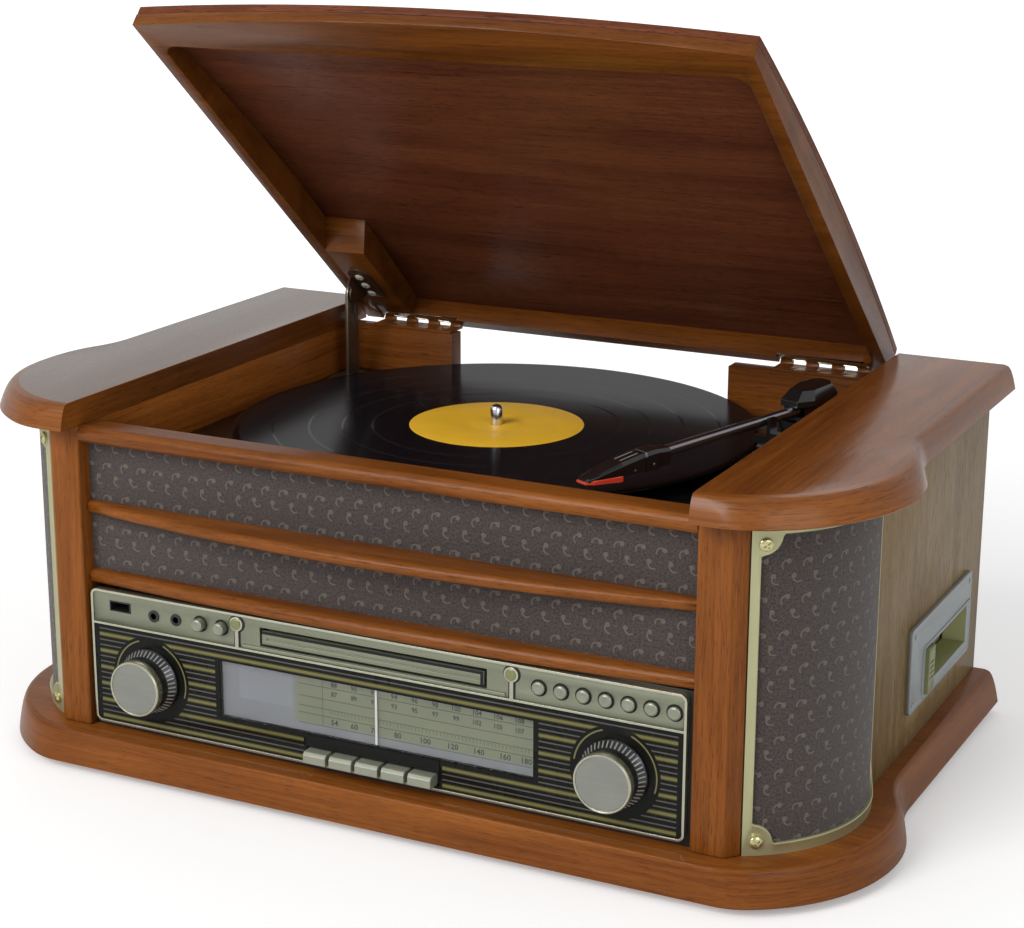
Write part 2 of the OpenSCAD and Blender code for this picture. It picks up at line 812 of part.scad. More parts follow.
module cabinet_hinge_leaves() {
    color([0.55, 0.52, 0.45])
    mirror_x() {
        difference() {
            union() {
                block([hinge_x0, 141, carcass_top], [hinge_x0 + knuckle * knuckles, 157, carcass_top + 1.2]);
                for (k = [0 : 2 : knuckles - 1])
                    block(
                        [hinge_x0 + k * knuckle + (k > 0 ? 0.15 : 0), 155.7, carcass_top],
                        [hinge_x0 + (k + 1) * knuckle - (k < knuckles - 1 ? 0.15 : 0), 158, hinge_z - 1]
                    );
                knuckle_row(0);
                rod_x(hinge_y, hinge_z, hinge_pin_r, hinge_x0, hinge_x0 + knuckle * knuckles);
            }
            for (x = [12, 28, 44])
                translate([hinge_x0 + x, 146.5, carcass_top + 0.5]) cylinder(r = 1.6, h = 3, $fn = 32);
        }
    }
}

module lid_hinge_leaves() {
    color([0.55, 0.52, 0.45])
    mirror_x()
    difference() {
        union() {
            translate([0, hinge_y, hinge_z]) rotate([-lid_open, 0, 0]) translate([0, -hinge_y, -hinge_z])
                for (k = [1 : 2 : knuckles - 1])
                    block(
                        [hinge_x0 + k * knuckle + 0.15, hinge_y - 4.5, hinge_z - 2.47],
                        [hinge_x0 + (k + 1) * knuckle - 0.15, hinge_y, hinge_z - 1.27]
                    );
            lid_place()
                block([hinge_x0, 12.1, 0.9], [hinge_x0 + knuckle * knuckles, 16.4, 2.1]);
            knuckle_row(1);
        }
        rod_x(hinge_y, hinge_z, hinge_pin_r + 0.05, hinge_x0 - 1, hinge_x0 + knuckle * knuckles + 1);
    }
}

// Flat bar that hangs from the bracket through its guide in the deck
module lid_stay() {
    pivot = lid_point(stay_s, stay_h);
    color([0.72, 0.70, 0.64])
    difference() {
        union() {
            block(
                [stay_x[0], pivot[0] - stay_w / 2, pivot[1] - stay_len],
                [stay_x[1], pivot[0] + stay_w / 2, pivot[1]]
            );
            rod_x(pivot[0], pivot[1], 6.4, stay_x[0], stay_x[1], 64);
        }
        rod_x(pivot[0], pivot[1], 2.05, stay_x[0] - 1, stay_x[1] + 1);
    }
}

function lid_point(s, h) = [
    lid_p0[0] - s * cos(lid_open) + h * sin(lid_open),
    lid_p0[1] + s * sin(lid_open) + h * cos(lid_open)
];

// Front panel

function button_x(i) = i < 2 ? side_buttons[i] : button_x0 + (i - 2) * button_pitch;
function button_z(i) = i < 2 ? side_button_z : strip_z;

module rect_xz(a, b) {
    translate(a) square(b - a);
}

module panel_holes() {
    rect_xz(usb - usb_size / 2 - [0.05, 0.05], usb + usb_size / 2 + [0.05, 0.05]);
    for (j = jacks) rect_xz(j - [2.35, 2.35], j + [2.35, 2.35]);
    for (i = [0 : 8]) translate([button_x(i), button_z(i)]) circle(r = button_hole, $fn = 48);
    rect_xz(
        [-drawer_x - drawer_gap, drawer_z[0] - drawer_gap],
        [drawer_x + drawer_gap, drawer_z[1] + drawer_gap]
    );
    rect_xz([-2.5 * key_pitch - 0.4, key_z[0] - 0.4], [2.5 * key_pitch + 0.4, key_z[1] + 0.4]);
    for (s = [-1, 1]) translate([s * knob_x, knob_z]) circle(r = 3.5, $fn = 48);
}

// Two plates: the main one, and a low one at the left that leaves room for the socket board
module fascia_chassis() {
    color([0.05, 0.05, 0.05])
    front(chassis_y, chassis_y + chassis_t)
    difference() {
        union() {
            rect_xz([board_x[1] + 0.3, base_top], [column_x, rail_low_z[0]]);
            rect_xz([-column_x, base_top], [board_x[1], board_z[0] - 1]);
        }
        panel_holes();
    }
}

module fascia_frame() {
    color([0.75, 0.75, 0.72]) {
        front(fascia_y - frame_proud, chassis_y) {
            difference() {
                round_rect([-fascia_x, fascia_z0], [fascia_x, fascia_z1], 4);
                round_rect(
                    [-fascia_x + frame_w, fascia_z0 + frame_w], [fascia_x - frame_w, fascia_z1 - frame_w], 2.6
                );
            }
            rect_xz([-fascia_x + frame_w, divider_z - 0.6], [fascia_x - frame_w, divider_z + 0.6]);
        }
        // Disc ornaments on their stems
        for (s = [-1, 1]) {
            front(fascia_y - 0.9, fascia_y)
                rect_xz([s * ornament_x - 1.1, divider_z + 0.6], [s * ornament_x + 1.1, ornament_z]);
            rod_y(s * ornament_x, ornament_z, 4, fascia_y - 1.4, fascia_y, 64);
        }
    }
}

module strip_panel() {
    color([0.58, 0.58, 0.50])
    front(fascia_y, chassis_y)
    difference() {
        intersection() {
            rect_xz([-fascia_x + frame_w, divider_z + 0.6], [fascia_x - frame_w, fascia_z1]);
            round_rect([-fascia_x + frame_w, fascia_z0], [fascia_x - frame_w, fascia_z1 - frame_w], 2.6);
        }
        panel_holes();
    }
}

module dial_panel() {
    color([0.06, 0.06, 0.05]) {
        front(fascia_y, chassis_y)
        difference() {
            intersection() {
                rect_xz([-fascia_x + frame_w, fascia_z0], [fascia_x - frame_w, divider_z - 0.6]);
                round_rect([-fascia_x + frame_w, fascia_z0 + frame_w], [fascia_x - frame_w, fascia_z1], 2.6);
            }
            panel_holes();
            rect_xz([-dial_x, window_z[0]], [dial_x, window_z[1]]);
        }
        // Raised plate over the keys
        front(fascia_y - 0.4, fascia_y) rect_xz([-40, key_z[1] + 0.6], [40, window_z[0] - 0.4]);
    }
}

module dial_scale() {
    color([0.72, 0.72, 0.68])
    front(chassis_y - 0.7, chassis_y)
        rect_xz([-dial_x + 0.2, window_z[0] + 0.2], [dial_x - 0.2, window_z[1] - 0.2]);
}

module dial_window() {
    color([0.8, 0.85, 0.85, 0.35])
    front(fascia_y + 0.2, fascia_y + 1.6) rect_xz([-dial_x, window_z[0]], [dial_x, window_z[1]]);
}

module dial_pointer() {
    color([0.85, 0.45, 0.35])
    front(chassis_y - 1.9, chassis_y - 1.2) rect_xz([1.2, window_z[0] + 0.6], [2.4, window_z[1] - 0.6]);
}

module front_sockets() {
    color([0.05, 0.05, 0.05]) {
        front(fascia_y - 0.3, fascia_y + jack_len + 1)
        difference() {
            rect_xz(usb - usb_size / 2, usb + usb_size / 2);
            rect_xz(usb - [6.1, 2.3], usb + [6.1, 2.3]);
        }
        // Board that carries the sockets
        front(fascia_y + jack_len + 1, fascia_y + jack_len + 2.6)
            rect_xz([board_x[0], board_z[0]], [board_x[1], board_z[1]]);
        for (j = jacks)
            difference() {
                union() {
                    rod_y(j.x, j.y, 3.3, fascia_y - 0.6, fascia_y, 64);
                    front(fascia_y, fascia_y + jack_len + 1) rect_xz(j - [2.3, 2.3], j + [2.3, 2.3]);
                }
                rod_y(j.x, j.y, jack_r, fascia_y - 0.6 - eps, fascia_y - 0.6 + jack_len, 48);
            }
    }
}

// Knob: knurled skirt, tapered neck and a flat metal face, on a shaft through the panel
module knob(x) {
    teeth = 40;
    depth = 16.3;
    skirt_r = 19;
    translate([x, fascia_y - 0.5, knob_z]) rotate([90, 0, 0]) {
        linear_extrude(height = 4)
            polygon([
                for (i = [0 : 2 * teeth - 1])
                    let (a = i * 180 / teeth)
                    (skirt_r - 0.7 * (i % 2)) * [cos(a), sin(a)]
            ]);
        translate([0, 0, 4]) rotate_extrude($fn = round_fn)
            polygon([
                [0, 0], [17.6, 0], [16.6, 2], [16.6, 9.5], [knob_r + 0.5, depth - 5.2],
                [knob_r, depth - 4], [knob_r - 1.6, depth - 4], [knob_r - 1.9, depth - 4.4], [0, depth - 4.4]
            ]);
        translate([0, 0, -14]) cylinder(r = 3, h = 14, $fn = 48);
    }
}

module volume_knob() {
    color([0.55, 0.55, 0.54]) knob(-knob_x);
}

module tuning_knob() {
    color([0.55, 0.55, 0.54]) knob(knob_x);
}

module selector_key(i) {
    x = (i - 2) * key_pitch;
    color([0.72, 0.72, 0.70])
    translate([x - key_w / 2, 0, 0]) rotate([90, 0, 90]) linear_extrude(height = key_w)
        polygon([
            [fascia_y + 7.5, key_z[0]], [fascia_y - 6.2, key_z[0]], [fascia_y - 7, key_z[0] + 0.8],
            [fascia_y - 6.4, key_z[1] - 1.2], [fascia_y - 5.4, key_z[1]], [fascia_y + 7.5, key_z[1]]
        ]);
}

module key_1() { selector_key(0); }
module key_2() { selector_key(1); }
module key_3() { selector_key(2); }
module key_4() { selector_key(3); }
module key_5() { selector_key(4); }

module push_button(i) {
    proud = i < 2 ? 4.7 : 2;
    color([0.70, 0.70, 0.66])
    translate([button_x(i), fascia_y + 6, button_z(i)]) rotate([90, 0, 0])
    rotate_extrude($fn = 64)
        polygon([
            [0, 0], [button_r, 0], [button_r, 6 + proud - 0.6], [button_r - 0.6, 6 + proud],
            [button_r - 1.1, 6 + proud], [0, 6 + proud - 0.3]
        ]);
}

module button_1() { push_button(0); }
module button_2() { push_button(1); }
module button_3() { push_button(2); }
module button_4() { push_button(3); }
module button_5() { push_button(4); }
module button_6() { push_button(5); }
module button_7() { push_button(6); }
module button_8() { push_button(7); }
module button_9() { push_button(8); }

module disc_drawer() {
    color([0.55, 0.55, 0.48])
    difference() {
        union() {
            front(fascia_y - 0.5, tray_y0)
                rect_xz([-drawer_x, drawer_z[0]], [drawer_x, drawer_z[1]]);
            block([-tray_x, tray_y0, tray_z[0]], [tray_x, tray_y0 + drawer_len, tray_z[1]]);
        }
        // Finger line across the front
        front(fascia_y - 1, fascia_y + 0.3)
            rect_xz([-drawer_x + 3, drawer_z[0] + 2.4], [drawer_x - 3, drawer_z[0] + 3.4]);
        // Dished seat for the disc, with the opening for its drive
        translate([0, disc_y, tray_z[0] + 1.6]) cylinder(r = disc_r, h = 10, $fn = round_fn * 2);
        translate([0, disc_y, tray_z[0] - 1]) cylinder(r = 18, h = 10, $fn = round_fn);
        block([-18, disc_y, tray_z[0] - 1], [18, disc_y + 45, tray_z[1] + 1]);
    }
}

// Bed and side guides that carry the drawer, behind the fascia
module disc_loader() {
    y0 = chassis_y + chassis_t;
    color([0.10, 0.10, 0.11]) {
        block([-tray_x - 5, y0, 88], [tray_x + 5, y0 + 132, tray_z[0] - gap]);
        for (x = [-tray_x - 5, tray_x + 0.5])
            block([x, y0, tray_z[0] - gap], [x + 4.5, y0 + 132, 103]);
        block([-tray_x - 5, y0 + 20, 103], [tray_x + 5, y0 + 132, 105]);
        for (x = [-55, 55])
            block([x - 4, y0 + 10, base_top], [x + 4, y0 + 120, 88]);
    }
}

// Cassette bay on the right-hand side

module cassette_plate() {
    color([0.62, 0.62, 0.60])
    difference() {
        union() {
            translate([side_x, 0, 0]) rotate([90, 0, 90]) linear_extrude(height = 2.6)
                round_rect([bay_y[0], bay_z[0]], [bay_y[1], bay_z[1]], 2);
            block(
                [side_x - 16, bay_cut_y[0] - bay_wall, bay_cut_z[0] - bay_wall],
                [side_x + 3.4, bay_cut_y[1] + bay_wall, bay_cut_z[1] + bay_wall]
            );
        }
        block([side_x - 20, bay_cut_y[0], bay_cut_z[0]], [side_x + 5, bay_cut_y[1], bay_cut_z[1]]);
        for (y = [20, 127], z = [50.5, 89.5])
            rod_x(y, z, 1.5, side_x + 1.6, side_x + 4, 32);
    }
}

module cassette_flap() {
    color([0.45, 0.46, 0.36])
    difference() {
        union() {
            block([side_x - 11.5, flap_y[0], flap_z[0]], [side_x - 9.5, flap_y[1], flap_z[1] - 1.2]);
            rod_y(side_x - 10.5, flap_z[1] - 1.2, 1.2, flap_y[0], flap_y[1]);
        }
        for (z = [56, 60, 64])
            block([side_x - 9.8, flap_y[0] + 8, z], [side_x - 9, flap_y[1] - 8, z + 1]);
    }
}

module eject_key() {
    color([0.60, 0.60, 0.42])
    difference() {
        block(
            [side_x - 9, bay_cut_y[0] + 0.4, bay_cut_z[0] + 0.5],
            [side_x + 5.3, bay_cut_y[0] + 11.5, bay_cut_z[1] - 0.5]
        );
        for (z = [58, 61, 64, 67])
            block([side_x + 4.7, bay_cut_y[0] + 2.5, z], [side_x + 6, bay_cut_y[0] + 9.5, z + 1]);
    }
}

// Rear connections: a pair of line sockets and the mains inlet, with its lead unplugged
module rear_sockets() {
    color([0.09, 0.09, 0.10])
    difference() {
        union() {
            front(wall_y[1], wall_y[1] + 2) round_rect([-56, 40], [56, 84], 3);
            block([rear_plate[0].x + 0.2, wall_y[0] - 2, rear_plate[0].y + 0.2],
                [rear_plate[1].x - 0.2, wall_y[1], rear_plate[1].y - 0.2]);
            for (x = [-34, -16]) rod_y(x, 62, 4.15, wall_y[1] + 2, wall_y[1] + 10.5, 64);
        }
        front(wall_y[1] - 10, wall_y[1] + 3) round_rect([18, 57], [38, 67], 4.9);
        for (x = [-51.5, 51.5], z = [44.5, 79.5])
            rod_y(x, z, 1.6, wall_y[1] + 1, wall_y[1] + 3, 32);
    }
}

base_plinth();
feet();
side_panels();
inner_walls();
columns();
wings();
rear_wall();
front_rails();
front_cloth();
speaker_cloths();
speaker_trims();
speaker_drivers();
fascia_chassis();
fascia_frame();
strip_panel();
dial_panel();
dial_scale();
dial_window();
front_sockets();
deck_plate();
spindle();
cassette_plate();
cabinet_hinge_leaves();
rear_sockets();
stay_guide();
disc_loader();
lid_board();
lid_rim();
stay_block();
stay_bracket();
lid_hinge_leaves();
lid_stay();
platter();
record_disc();
arm_yoke();
arm_tube();
headshell();
stylus();
volume_knob();
tuning_knob();
dial_pointer();
disc_drawer();
cassette_flap();
eject_key();
cue_lever();
speed_switch();
key_1();
key_2();
key_3();
key_4();
key_5();
button_1();
button_2();
button_3();
button_4();
button_5();
button_6();
button_7();
button_8();
button_9();
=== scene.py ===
import json
import math
from functools import partialmethod, reduce

import bmesh
import bpy
from mathutils import Matrix, Vector

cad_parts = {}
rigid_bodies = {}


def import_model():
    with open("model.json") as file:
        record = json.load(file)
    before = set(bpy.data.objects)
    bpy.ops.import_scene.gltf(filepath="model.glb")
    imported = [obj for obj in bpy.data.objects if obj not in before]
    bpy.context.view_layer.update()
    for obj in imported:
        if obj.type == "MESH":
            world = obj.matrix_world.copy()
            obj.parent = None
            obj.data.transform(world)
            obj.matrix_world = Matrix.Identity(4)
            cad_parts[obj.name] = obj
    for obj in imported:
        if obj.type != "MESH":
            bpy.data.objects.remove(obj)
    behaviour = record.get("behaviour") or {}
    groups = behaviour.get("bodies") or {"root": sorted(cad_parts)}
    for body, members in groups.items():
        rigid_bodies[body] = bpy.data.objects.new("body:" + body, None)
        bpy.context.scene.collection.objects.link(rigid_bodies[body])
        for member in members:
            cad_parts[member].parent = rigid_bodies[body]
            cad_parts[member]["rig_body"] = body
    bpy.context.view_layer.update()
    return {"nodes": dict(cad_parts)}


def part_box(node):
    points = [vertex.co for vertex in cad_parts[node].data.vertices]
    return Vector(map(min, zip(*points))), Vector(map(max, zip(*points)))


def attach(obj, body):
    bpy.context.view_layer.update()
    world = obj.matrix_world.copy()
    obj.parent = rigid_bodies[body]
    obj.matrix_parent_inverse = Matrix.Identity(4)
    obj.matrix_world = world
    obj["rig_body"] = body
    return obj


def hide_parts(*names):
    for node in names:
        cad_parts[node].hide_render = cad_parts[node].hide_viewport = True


bl_info = {
    "name": "Retro Music Centre",
    "version": (1, 0, 0),
    "blender": (4, 5, 0),
    "location": "3D View > Sidebar > Music Centre",
    "description": "Finishes and fine pieces of a wooden music centre, built on its packed CAD frame",
    "category": "Object",
}

MM = 0.001
TURN = 6.283
UP, FRONT = (0, 0, 1), (0, -1, 0)
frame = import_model()

# Plan of the cabinet's rounded corners, in millimetres
NOSE = Vector((168.5, -78))
NOSE_R = 89.06
FLANK_R = 82.5
NECK_R = 68
NECK_ANGLE = 25.05
WING_FRONT, WING_FRONT_LOW = 81.95, 88.4
BASE_FRONT, BASE_FRONT_LOW = 86, 87
EDGE_POWER = 0.43
WING_INSET, BASE_FLARE = 3.8, 2.3
TRIM_R, TRIM_FLANK = 76.5, 6.2
CLOTH_R = 74.5
WELL_X = 179.5

RECORD_C = Vector((-12.7, 17.6))
ARM_C = Vector((150.5, 85.65))
ARM_PARK = math.radians(17.6)
TUBE_Z = 195.5
TUBE_START, TUBE_END, SHELL_TIP = (-8, 10), (-11, 144), (-0.5, 192)
TRACK_GAPS = (71.0, 88.0, 107.0, 127.5)
REST_T, DECK_TOP = 52, 168.5
HINGE_AXIS = (158, 201.2)

FACE_Y = -151.5
DIAL_X = 93.4
DIAL_Z = (45.8, 77.5)
KNOB_X, KNOB_Z = 138.3, 58.4
ARC_R = (22.1, 22.9)
LINE_Z, LINE_PITCH = 32.2, 9.57
# Height of a row of commas and radius of their tails, as shares of the pitch
ROW_PITCH, TAIL_R = 0.8, 0.22

BUTTONS = [(-104.8, 96.5), (-91.3, 96.5)] + [(96.4 + 12.17 * i, 95.7) for i in range(7)]


# Settings


def colour(name, about, rgb):
    """Colour property, given as a screen colour from 0 to 255."""
    return bpy.props.FloatVectorProperty(
        name=name, description=about, subtype="COLOR", size=3, min=0, max=1, default=linear(rgb)
    )


def length(name, about, value):
    """Length property, given in millimetres."""
    return bpy.props.FloatProperty(
        name=name, description=about, default=value * MM, min=0, unit="LENGTH", precision=5
    )


def factor(name, about, value, top=1):
    return bpy.props.FloatProperty(
        name=name, description=about, default=value, min=0, max=top, subtype="FACTOR"
    )


def linear(rgb):
    """Screen colour to scene-linear."""
    return tuple(
        v / 12.92 if v <= 0.04045 else ((v + 0.055) / 1.055) ** 2.4 for v in (c / 255 for c in rgb)
    )


class WoodSettings(bpy.types.PropertyGroup):
    """Stained wood and veneer"""

    stain_pale: colour("Pale stain", "Lighter tone of the stained wood", (144, 84, 32))
    stain_deep: colour("Deep stain", "Darker tone of the stained wood", (102, 54, 17))
    panel_pale: colour("Pale panel", "Lighter tone of the lid's panel", (122, 70, 44))
    panel_deep: colour("Deep panel", "Darker tone of the lid's panel", (88, 46, 30))
    veneer_pale: colour("Pale veneer", "Lighter tone of the side panels", (148, 124, 86))
    veneer_deep: colour("Deep veneer", "Darker tone of the side panels", (110, 88, 54))
    pores: factor("Pores", "How dark the open pores are", 0.55)
    edge: length("Edge radius", "Rounding of the wooden edges", 1.2)


class ClothSettings(bpy.types.PropertyGroup):
    """Grille cloth"""

    ground: colour("Ground", "Colour of the woven ground", (54, 43, 39))
    fleck: colour("Fleck", "Colour of the raised commas", (118, 106, 94))
    pitch: length("Pitch", "Distance between the commas", 11.2)
    thread: length("Thread", "Distance between the threads", 0.55)


class MetalSettings(bpy.types.PropertyGroup):
    """Metals, plastics and printing"""

    gilt: colour("Gilt", "Speaker trims and ornaments", (180, 178, 138))
    champagne: colour("Champagne", "Button strip", (134, 138, 118))
    face: colour("Knob face", "Caps of the two knobs", (148, 150, 142))
    bright: colour("Bright line", "Frame of the front panel", (190, 190, 170))
    lacquer: colour("Lacquer", "Black of the dial panel", (20, 20, 18))
    line_gold: colour("Gold line", "Broad printed lines", (112, 108, 66))
    line_grey: colour("Grey line", "Thin printed lines", (84, 84, 80))
    plastic: colour("Plastic", "Black plastic pieces", (24, 24, 25))


class RecordSettings(bpy.types.PropertyGroup):
    """Record and dial"""

    label: colour("Label", "Paper label of the record", (255, 200, 50))
    vinyl: colour("Vinyl", "Grooved record", (12, 12, 15))
    groove: length("Groove", "Distance between the shown grooves", 0.9)
    dial_grey: colour("Dial grey", "Ends of the dial's scale", (134, 134, 138))
    dial_green: colour("Dial green", "Middle of the dial's scale", (128, 130, 106))
    print_ink: colour("Ink", "Numbers on the dial", (38, 42, 34))


class StageSettings(bpy.types.PropertyGroup):
    """Floor and light"""

    floor: colour("Floor", "Pale floor", (247, 247, 247))
    sky: factor("Ambient", "Strength of the even light from all round", 0.45, 2)
    mirrored: factor("Mirrored", "Strength of the surroundings seen in glossy surfaces", 0.6)
    key: factor("Key light", "Power of the large lamp, in watts", 72, 200)
    fill: factor("Fill light", "Power of the lamp on the right, in watts", 12, 200)
    rear: factor("Rear light", "Power of the lamp behind, in watts", 8, 200)


class MusicCentreSettings(bpy.types.PropertyGroup):
    """All settings of the music centre"""

    wood: bpy.props.PointerProperty(type=WoodSettings)
    cloth: bpy.props.PointerProperty(type=ClothSettings)
    metal: bpy.props.PointerProperty(type=MetalSettings)
    record: bpy.props.PointerProperty(type=RecordSettings)
    stage: bpy.props.PointerProperty(type=StageSettings)


def settings():
    return bpy.context.scene.music_centre

# Shader helpers


class Value:
    """A number, vector or colour in a node tree; sums on it add the nodes that work them out."""

    def __init__(self, socket):
        self.socket = socket

    def add(self, kind, inputs, out=0, **props):
        """Value that a new node in the same tree gives."""
        return Value(put(self.socket.id_data, kind, inputs, **props).outputs[out])

    def op(self, operation, *others):
        return self.add("ShaderNodeMath", dict(enumerate((self, *others))), operation=operation)

    __add__ = partialmethod(op, "ADD")
    __sub__ = partialmethod(op, "SUBTRACT")
    __mul__ = partialmethod(op, "MULTIPLY")
    __truediv__ = partialmethod(op, "DIVIDE")
    __mod__ = partialmethod(op, "MODULO")
    __abs__ = partialmethod(op, "ABSOLUTE")
    __lt__ = partialmethod(op, "LESS_THAN")
    __gt__ = partialmethod(op, "GREATER_THAN")
    __or__ = partialmethod(op, "MAXIMUM")

    def __rsub__(self, other):
        return self.op("MULTIPLY_ADD", -1.0, other)

    def ramp(self, low, high, out_low=0.0, out_high=1.0):
        """Straight change from out_low to out_high as the value goes from low to high."""
        return self.add("ShaderNodeMapRange", {0: self, 1: low, 2: high, 3: out_low, 4: out_high})

    def mix(self, a, b):
        """Colour from a to b as the value goes from 0 to 1."""
        return self.add("ShaderNodeMix", {0: self, 6: a, 7: b}, 2, data_type="RGBA")

    def times(self, tint):
        """This colour multiplied by another."""
        inputs = {0: 1.0, 6: self, 7: tint}
        return self.add("ShaderNodeMix", inputs, 2, data_type="RGBA", blend_type="MULTIPLY")

    def noise(self, scale, detail=2.0, roughness=0.5, distortion=0.0):
        inputs = {"Scale": scale, "Detail": detail, "Roughness": roughness, "Distortion": distortion}
        return self.add("ShaderNodeTexNoise", {"Vector": self, **inputs})

    def mapped(self, **inputs):
        return self.add("ShaderNodeMapping", {"Vector": self, **inputs})

    def distance(self, point=(0, 0, 0)):
        return self.add("ShaderNodeVectorMath", {0: self, 1: point}, "Value", operation="DISTANCE")

    def split(self):
        return [Value(part) for part in put(self.socket.id_data, "ShaderNodeSeparateXYZ", {0: self}).outputs]


def put(tree, kind, inputs, **props):
    """Adds a node."""
    made = tree.nodes.new(kind)
    for key, value in props.items():
        setattr(made, key, value)
    fill(made, inputs)
    return made


def fill(node, inputs):
    """Links the node's inputs to values of its tree, and sets them to plain numbers."""
    for key, value in inputs.items():
        if isinstance(value, Value):
            node.id_data.links.new(value.socket, node.inputs[key])
        else:
            node.inputs[key].default_value = value


def combined(x, y, z=0.0):
    return x.add("ShaderNodeCombineXYZ", {0: x, 1: y, 2: z})


def source(tree, out, kind="ShaderNodeTexCoord"):
    return Value(tree.nodes.new(kind).outputs[out])


def new_group(name, inputs, outputs, kind="ShaderNodeTree"):
    """Empty node group; returns its inputs as values, and its output node."""
    tree = bpy.data.node_groups.new(name, kind)
    for label, (socket, value) in inputs.items():
        made = tree.interface.new_socket(name=label, in_out="INPUT", socket_type="NodeSocket" + socket)
        if value is not None:
            made.default_value = value
    for label, socket in outputs.items():
        tree.interface.new_socket(name=label, in_out="OUTPUT", socket_type="NodeSocket" + socket)
    start = tree.nodes.new("NodeGroupInput")
    values = {part.name: Value(part) for part in start.outputs if part.name}
    return values, tree.nodes.new("NodeGroupOutput")


def make_grain_group():
    """Open-pored wood: the vector's first axis runs along the grain, in metres."""
    start, end = new_group(
        "wood_grain",
        {
            "Vector": ("Vector", None),
            "Pale": ("Color", (0.3, 0.1, 0.03, 1)),
            "Deep": ("Color", (0.1, 0.03, 0.01, 1)),
            "Pores": ("Float", 0.5),
        },
        {"Color": "Color", "Roughness": "Float", "Height": "Float"},
    )
    figure = start["Vector"].mapped(Scale=(3, 26, 26)).noise(1, 3, 0.5, 1.4)
    streaks = start["Vector"].mapped(Scale=(14, 420, 420)).noise(1, 4, 0.65, 0.3)
    pores = start["Vector"].mapped(Scale=(110, 1900, 1900)).noise(1).ramp(0.56, 0.68)
    body = (figure * 0.55 + streaks * 0.45).ramp(0.36, 0.66).mix(start["Deep"], start["Pale"])
    dark = body.times((0.32, 0.28, 0.26, 1))
    fill(
        end,
        {
            "Color": (pores * start["Pores"]).mix(body, dark),
            "Roughness": streaks.ramp(0.3, 0.7, 0.27, 0.4),
            "Height": streaks * 0.35 - pores,
        },
    )


def make_cloth_group():
    """Dark woven ground with a staggered pattern of small raised commas."""
    start, end = new_group(
        "comma_cloth",
        {
            "Vector": ("Vector", None),
            "Ground": ("Color", (0.05, 0.04, 0.04, 1)),
            "Fleck": ("Color", (0.2, 0.18, 0.15, 1)),
            "Pitch": ("Float", 0.0096),
            "Thread": ("Float", 0.0005),
        },
        {"Color": "Color", "Height": "Float"},
    )
    across, along, _ = start["Vector"].split()
    up = along / (start["Pitch"] * ROW_PITCH)
    row = up.op("FLOOR")
    odd = abs(row) % 2.0
    shifted = across / start["Pitch"] + odd * 0.5
    cell = combined(shifted.op("FLOOR"), row)
    chance = cell.add("ShaderNodeTexWhiteNoise", {"Vector": cell}, noise_dimensions="3D")
    tilt = odd * 1.5 + (chance * 0.9 - 1.0)
    local = combined(shifted.op("FRACT") - 0.5, (up.op("FRACT") - 0.5) * ROW_PITCH)
    turned = local.add("ShaderNodeVectorRotate", {"Vector": local, "Angle": tilt}, rotation_type="Z_AXIS")
    # Tail: part of a ring. Head: a round dot at the ring's upper end. Tail shadow: a painted shadow beside
    # the tail.
    side = turned.split()[0]
    tail = abs(turned.distance((0.17, -0.04, 0)) - TAIL_R).ramp(0.05, 0.028) * (side < 0.14)
    comma = tail | turned.distance((0.11, 0.16, 0)).ramp(0.13, 0.1)
    tail_painted_shadow = abs(turned.distance((0.2, -0.08, 0)) - TAIL_R).ramp(0.07, 0.03) * (side < 0.18)
    threads = [(way * TURN / start["Thread"]).op("SINE") for way in (across + along, across - along)]
    weave = threads[0] * threads[1] * 0.5 + 0.5
    fuzz = start["Vector"].noise(800, 2, 0.7).ramp(0.38, 0.62, 0.0, 0.8)
    ground = start["Ground"].times((weave * 0.2 + fuzz).mix(grey(0.1), grey(2.1)))
    ground = (tail_painted_shadow * 0.6).mix(ground, (0.008, 0.007, 0.007, 1))
    fill(end, {"Color": (comma * 0.6).mix(ground, start["Fleck"]), "Height": comma * 1.2 + weave * 0.6})


def make_wear_group():
    """Smudges and fine scratches that change a smooth surface's roughness."""
    start, end = new_group(
        "handling",
        {
            "Vector": ("Vector", None),
            "Base": ("Float", 0.3),
            "Spread": ("Float", 0.1),
            "Color": ("Color", (0.5, 0.5, 0.5, 1)),
        },
        {"Color": "Color", "Roughness": "Float", "Height": "Float"},
    )
    smudge = start["Vector"].noise(45, 3, 0.6, 0.4)
    fill(
        end,
        {
            "Color": start["Color"].times(smudge.mix(grey(0.86), grey(1.1))),
            "Roughness": (smudge - 0.5) * start["Spread"] * 2.0 + start["Base"],
            "Height": start["Vector"].noise(2600),
        },
    )


def use_group(tree, name, **inputs):
    """What a shared group gives for these inputs."""
    made = tree.nodes.new("ShaderNodeGroup")
    made.node_tree = bpy.data.node_groups[name]
    fill(made, inputs)
    return {part.name: Value(part) for part in made.outputs}


def rgba(value):
    return (value[0], value[1], value[2], 1.0)


def grey(value):
    return (value, value, value, 1)


def new_material(name):
    """Empty finish; returns its tree and its shader."""
    made = bpy.data.materials.new("finish_" + name)
    made.use_nodes = True
    return made.node_tree, made.node_tree.nodes["Principled BSDF"]


def finish(name):
    return bpy.data.materials["finish_" + name]


def bump(shader, height, distance, strength=0.5):
    inputs = {"Height": height, "Distance": distance, "Strength": strength}
    fill(shader, {"Normal": height.add("ShaderNodeBump", inputs)})


def placed(tree, along="X", seed=0.0):
    """Object coordinates with the grain's axis first, or UV for pieces that carry their own map."""
    if along == "UV":
        vector = source(tree, "UV")
    else:
        axes = source(tree, "Object").split()
        first = "XYZ".index(along)
        vector = combined(*(axes[(first + k) % 3] for k in range(3)))
    return vector.mapped(Location=(seed, seed * 0.7, seed * 1.3))


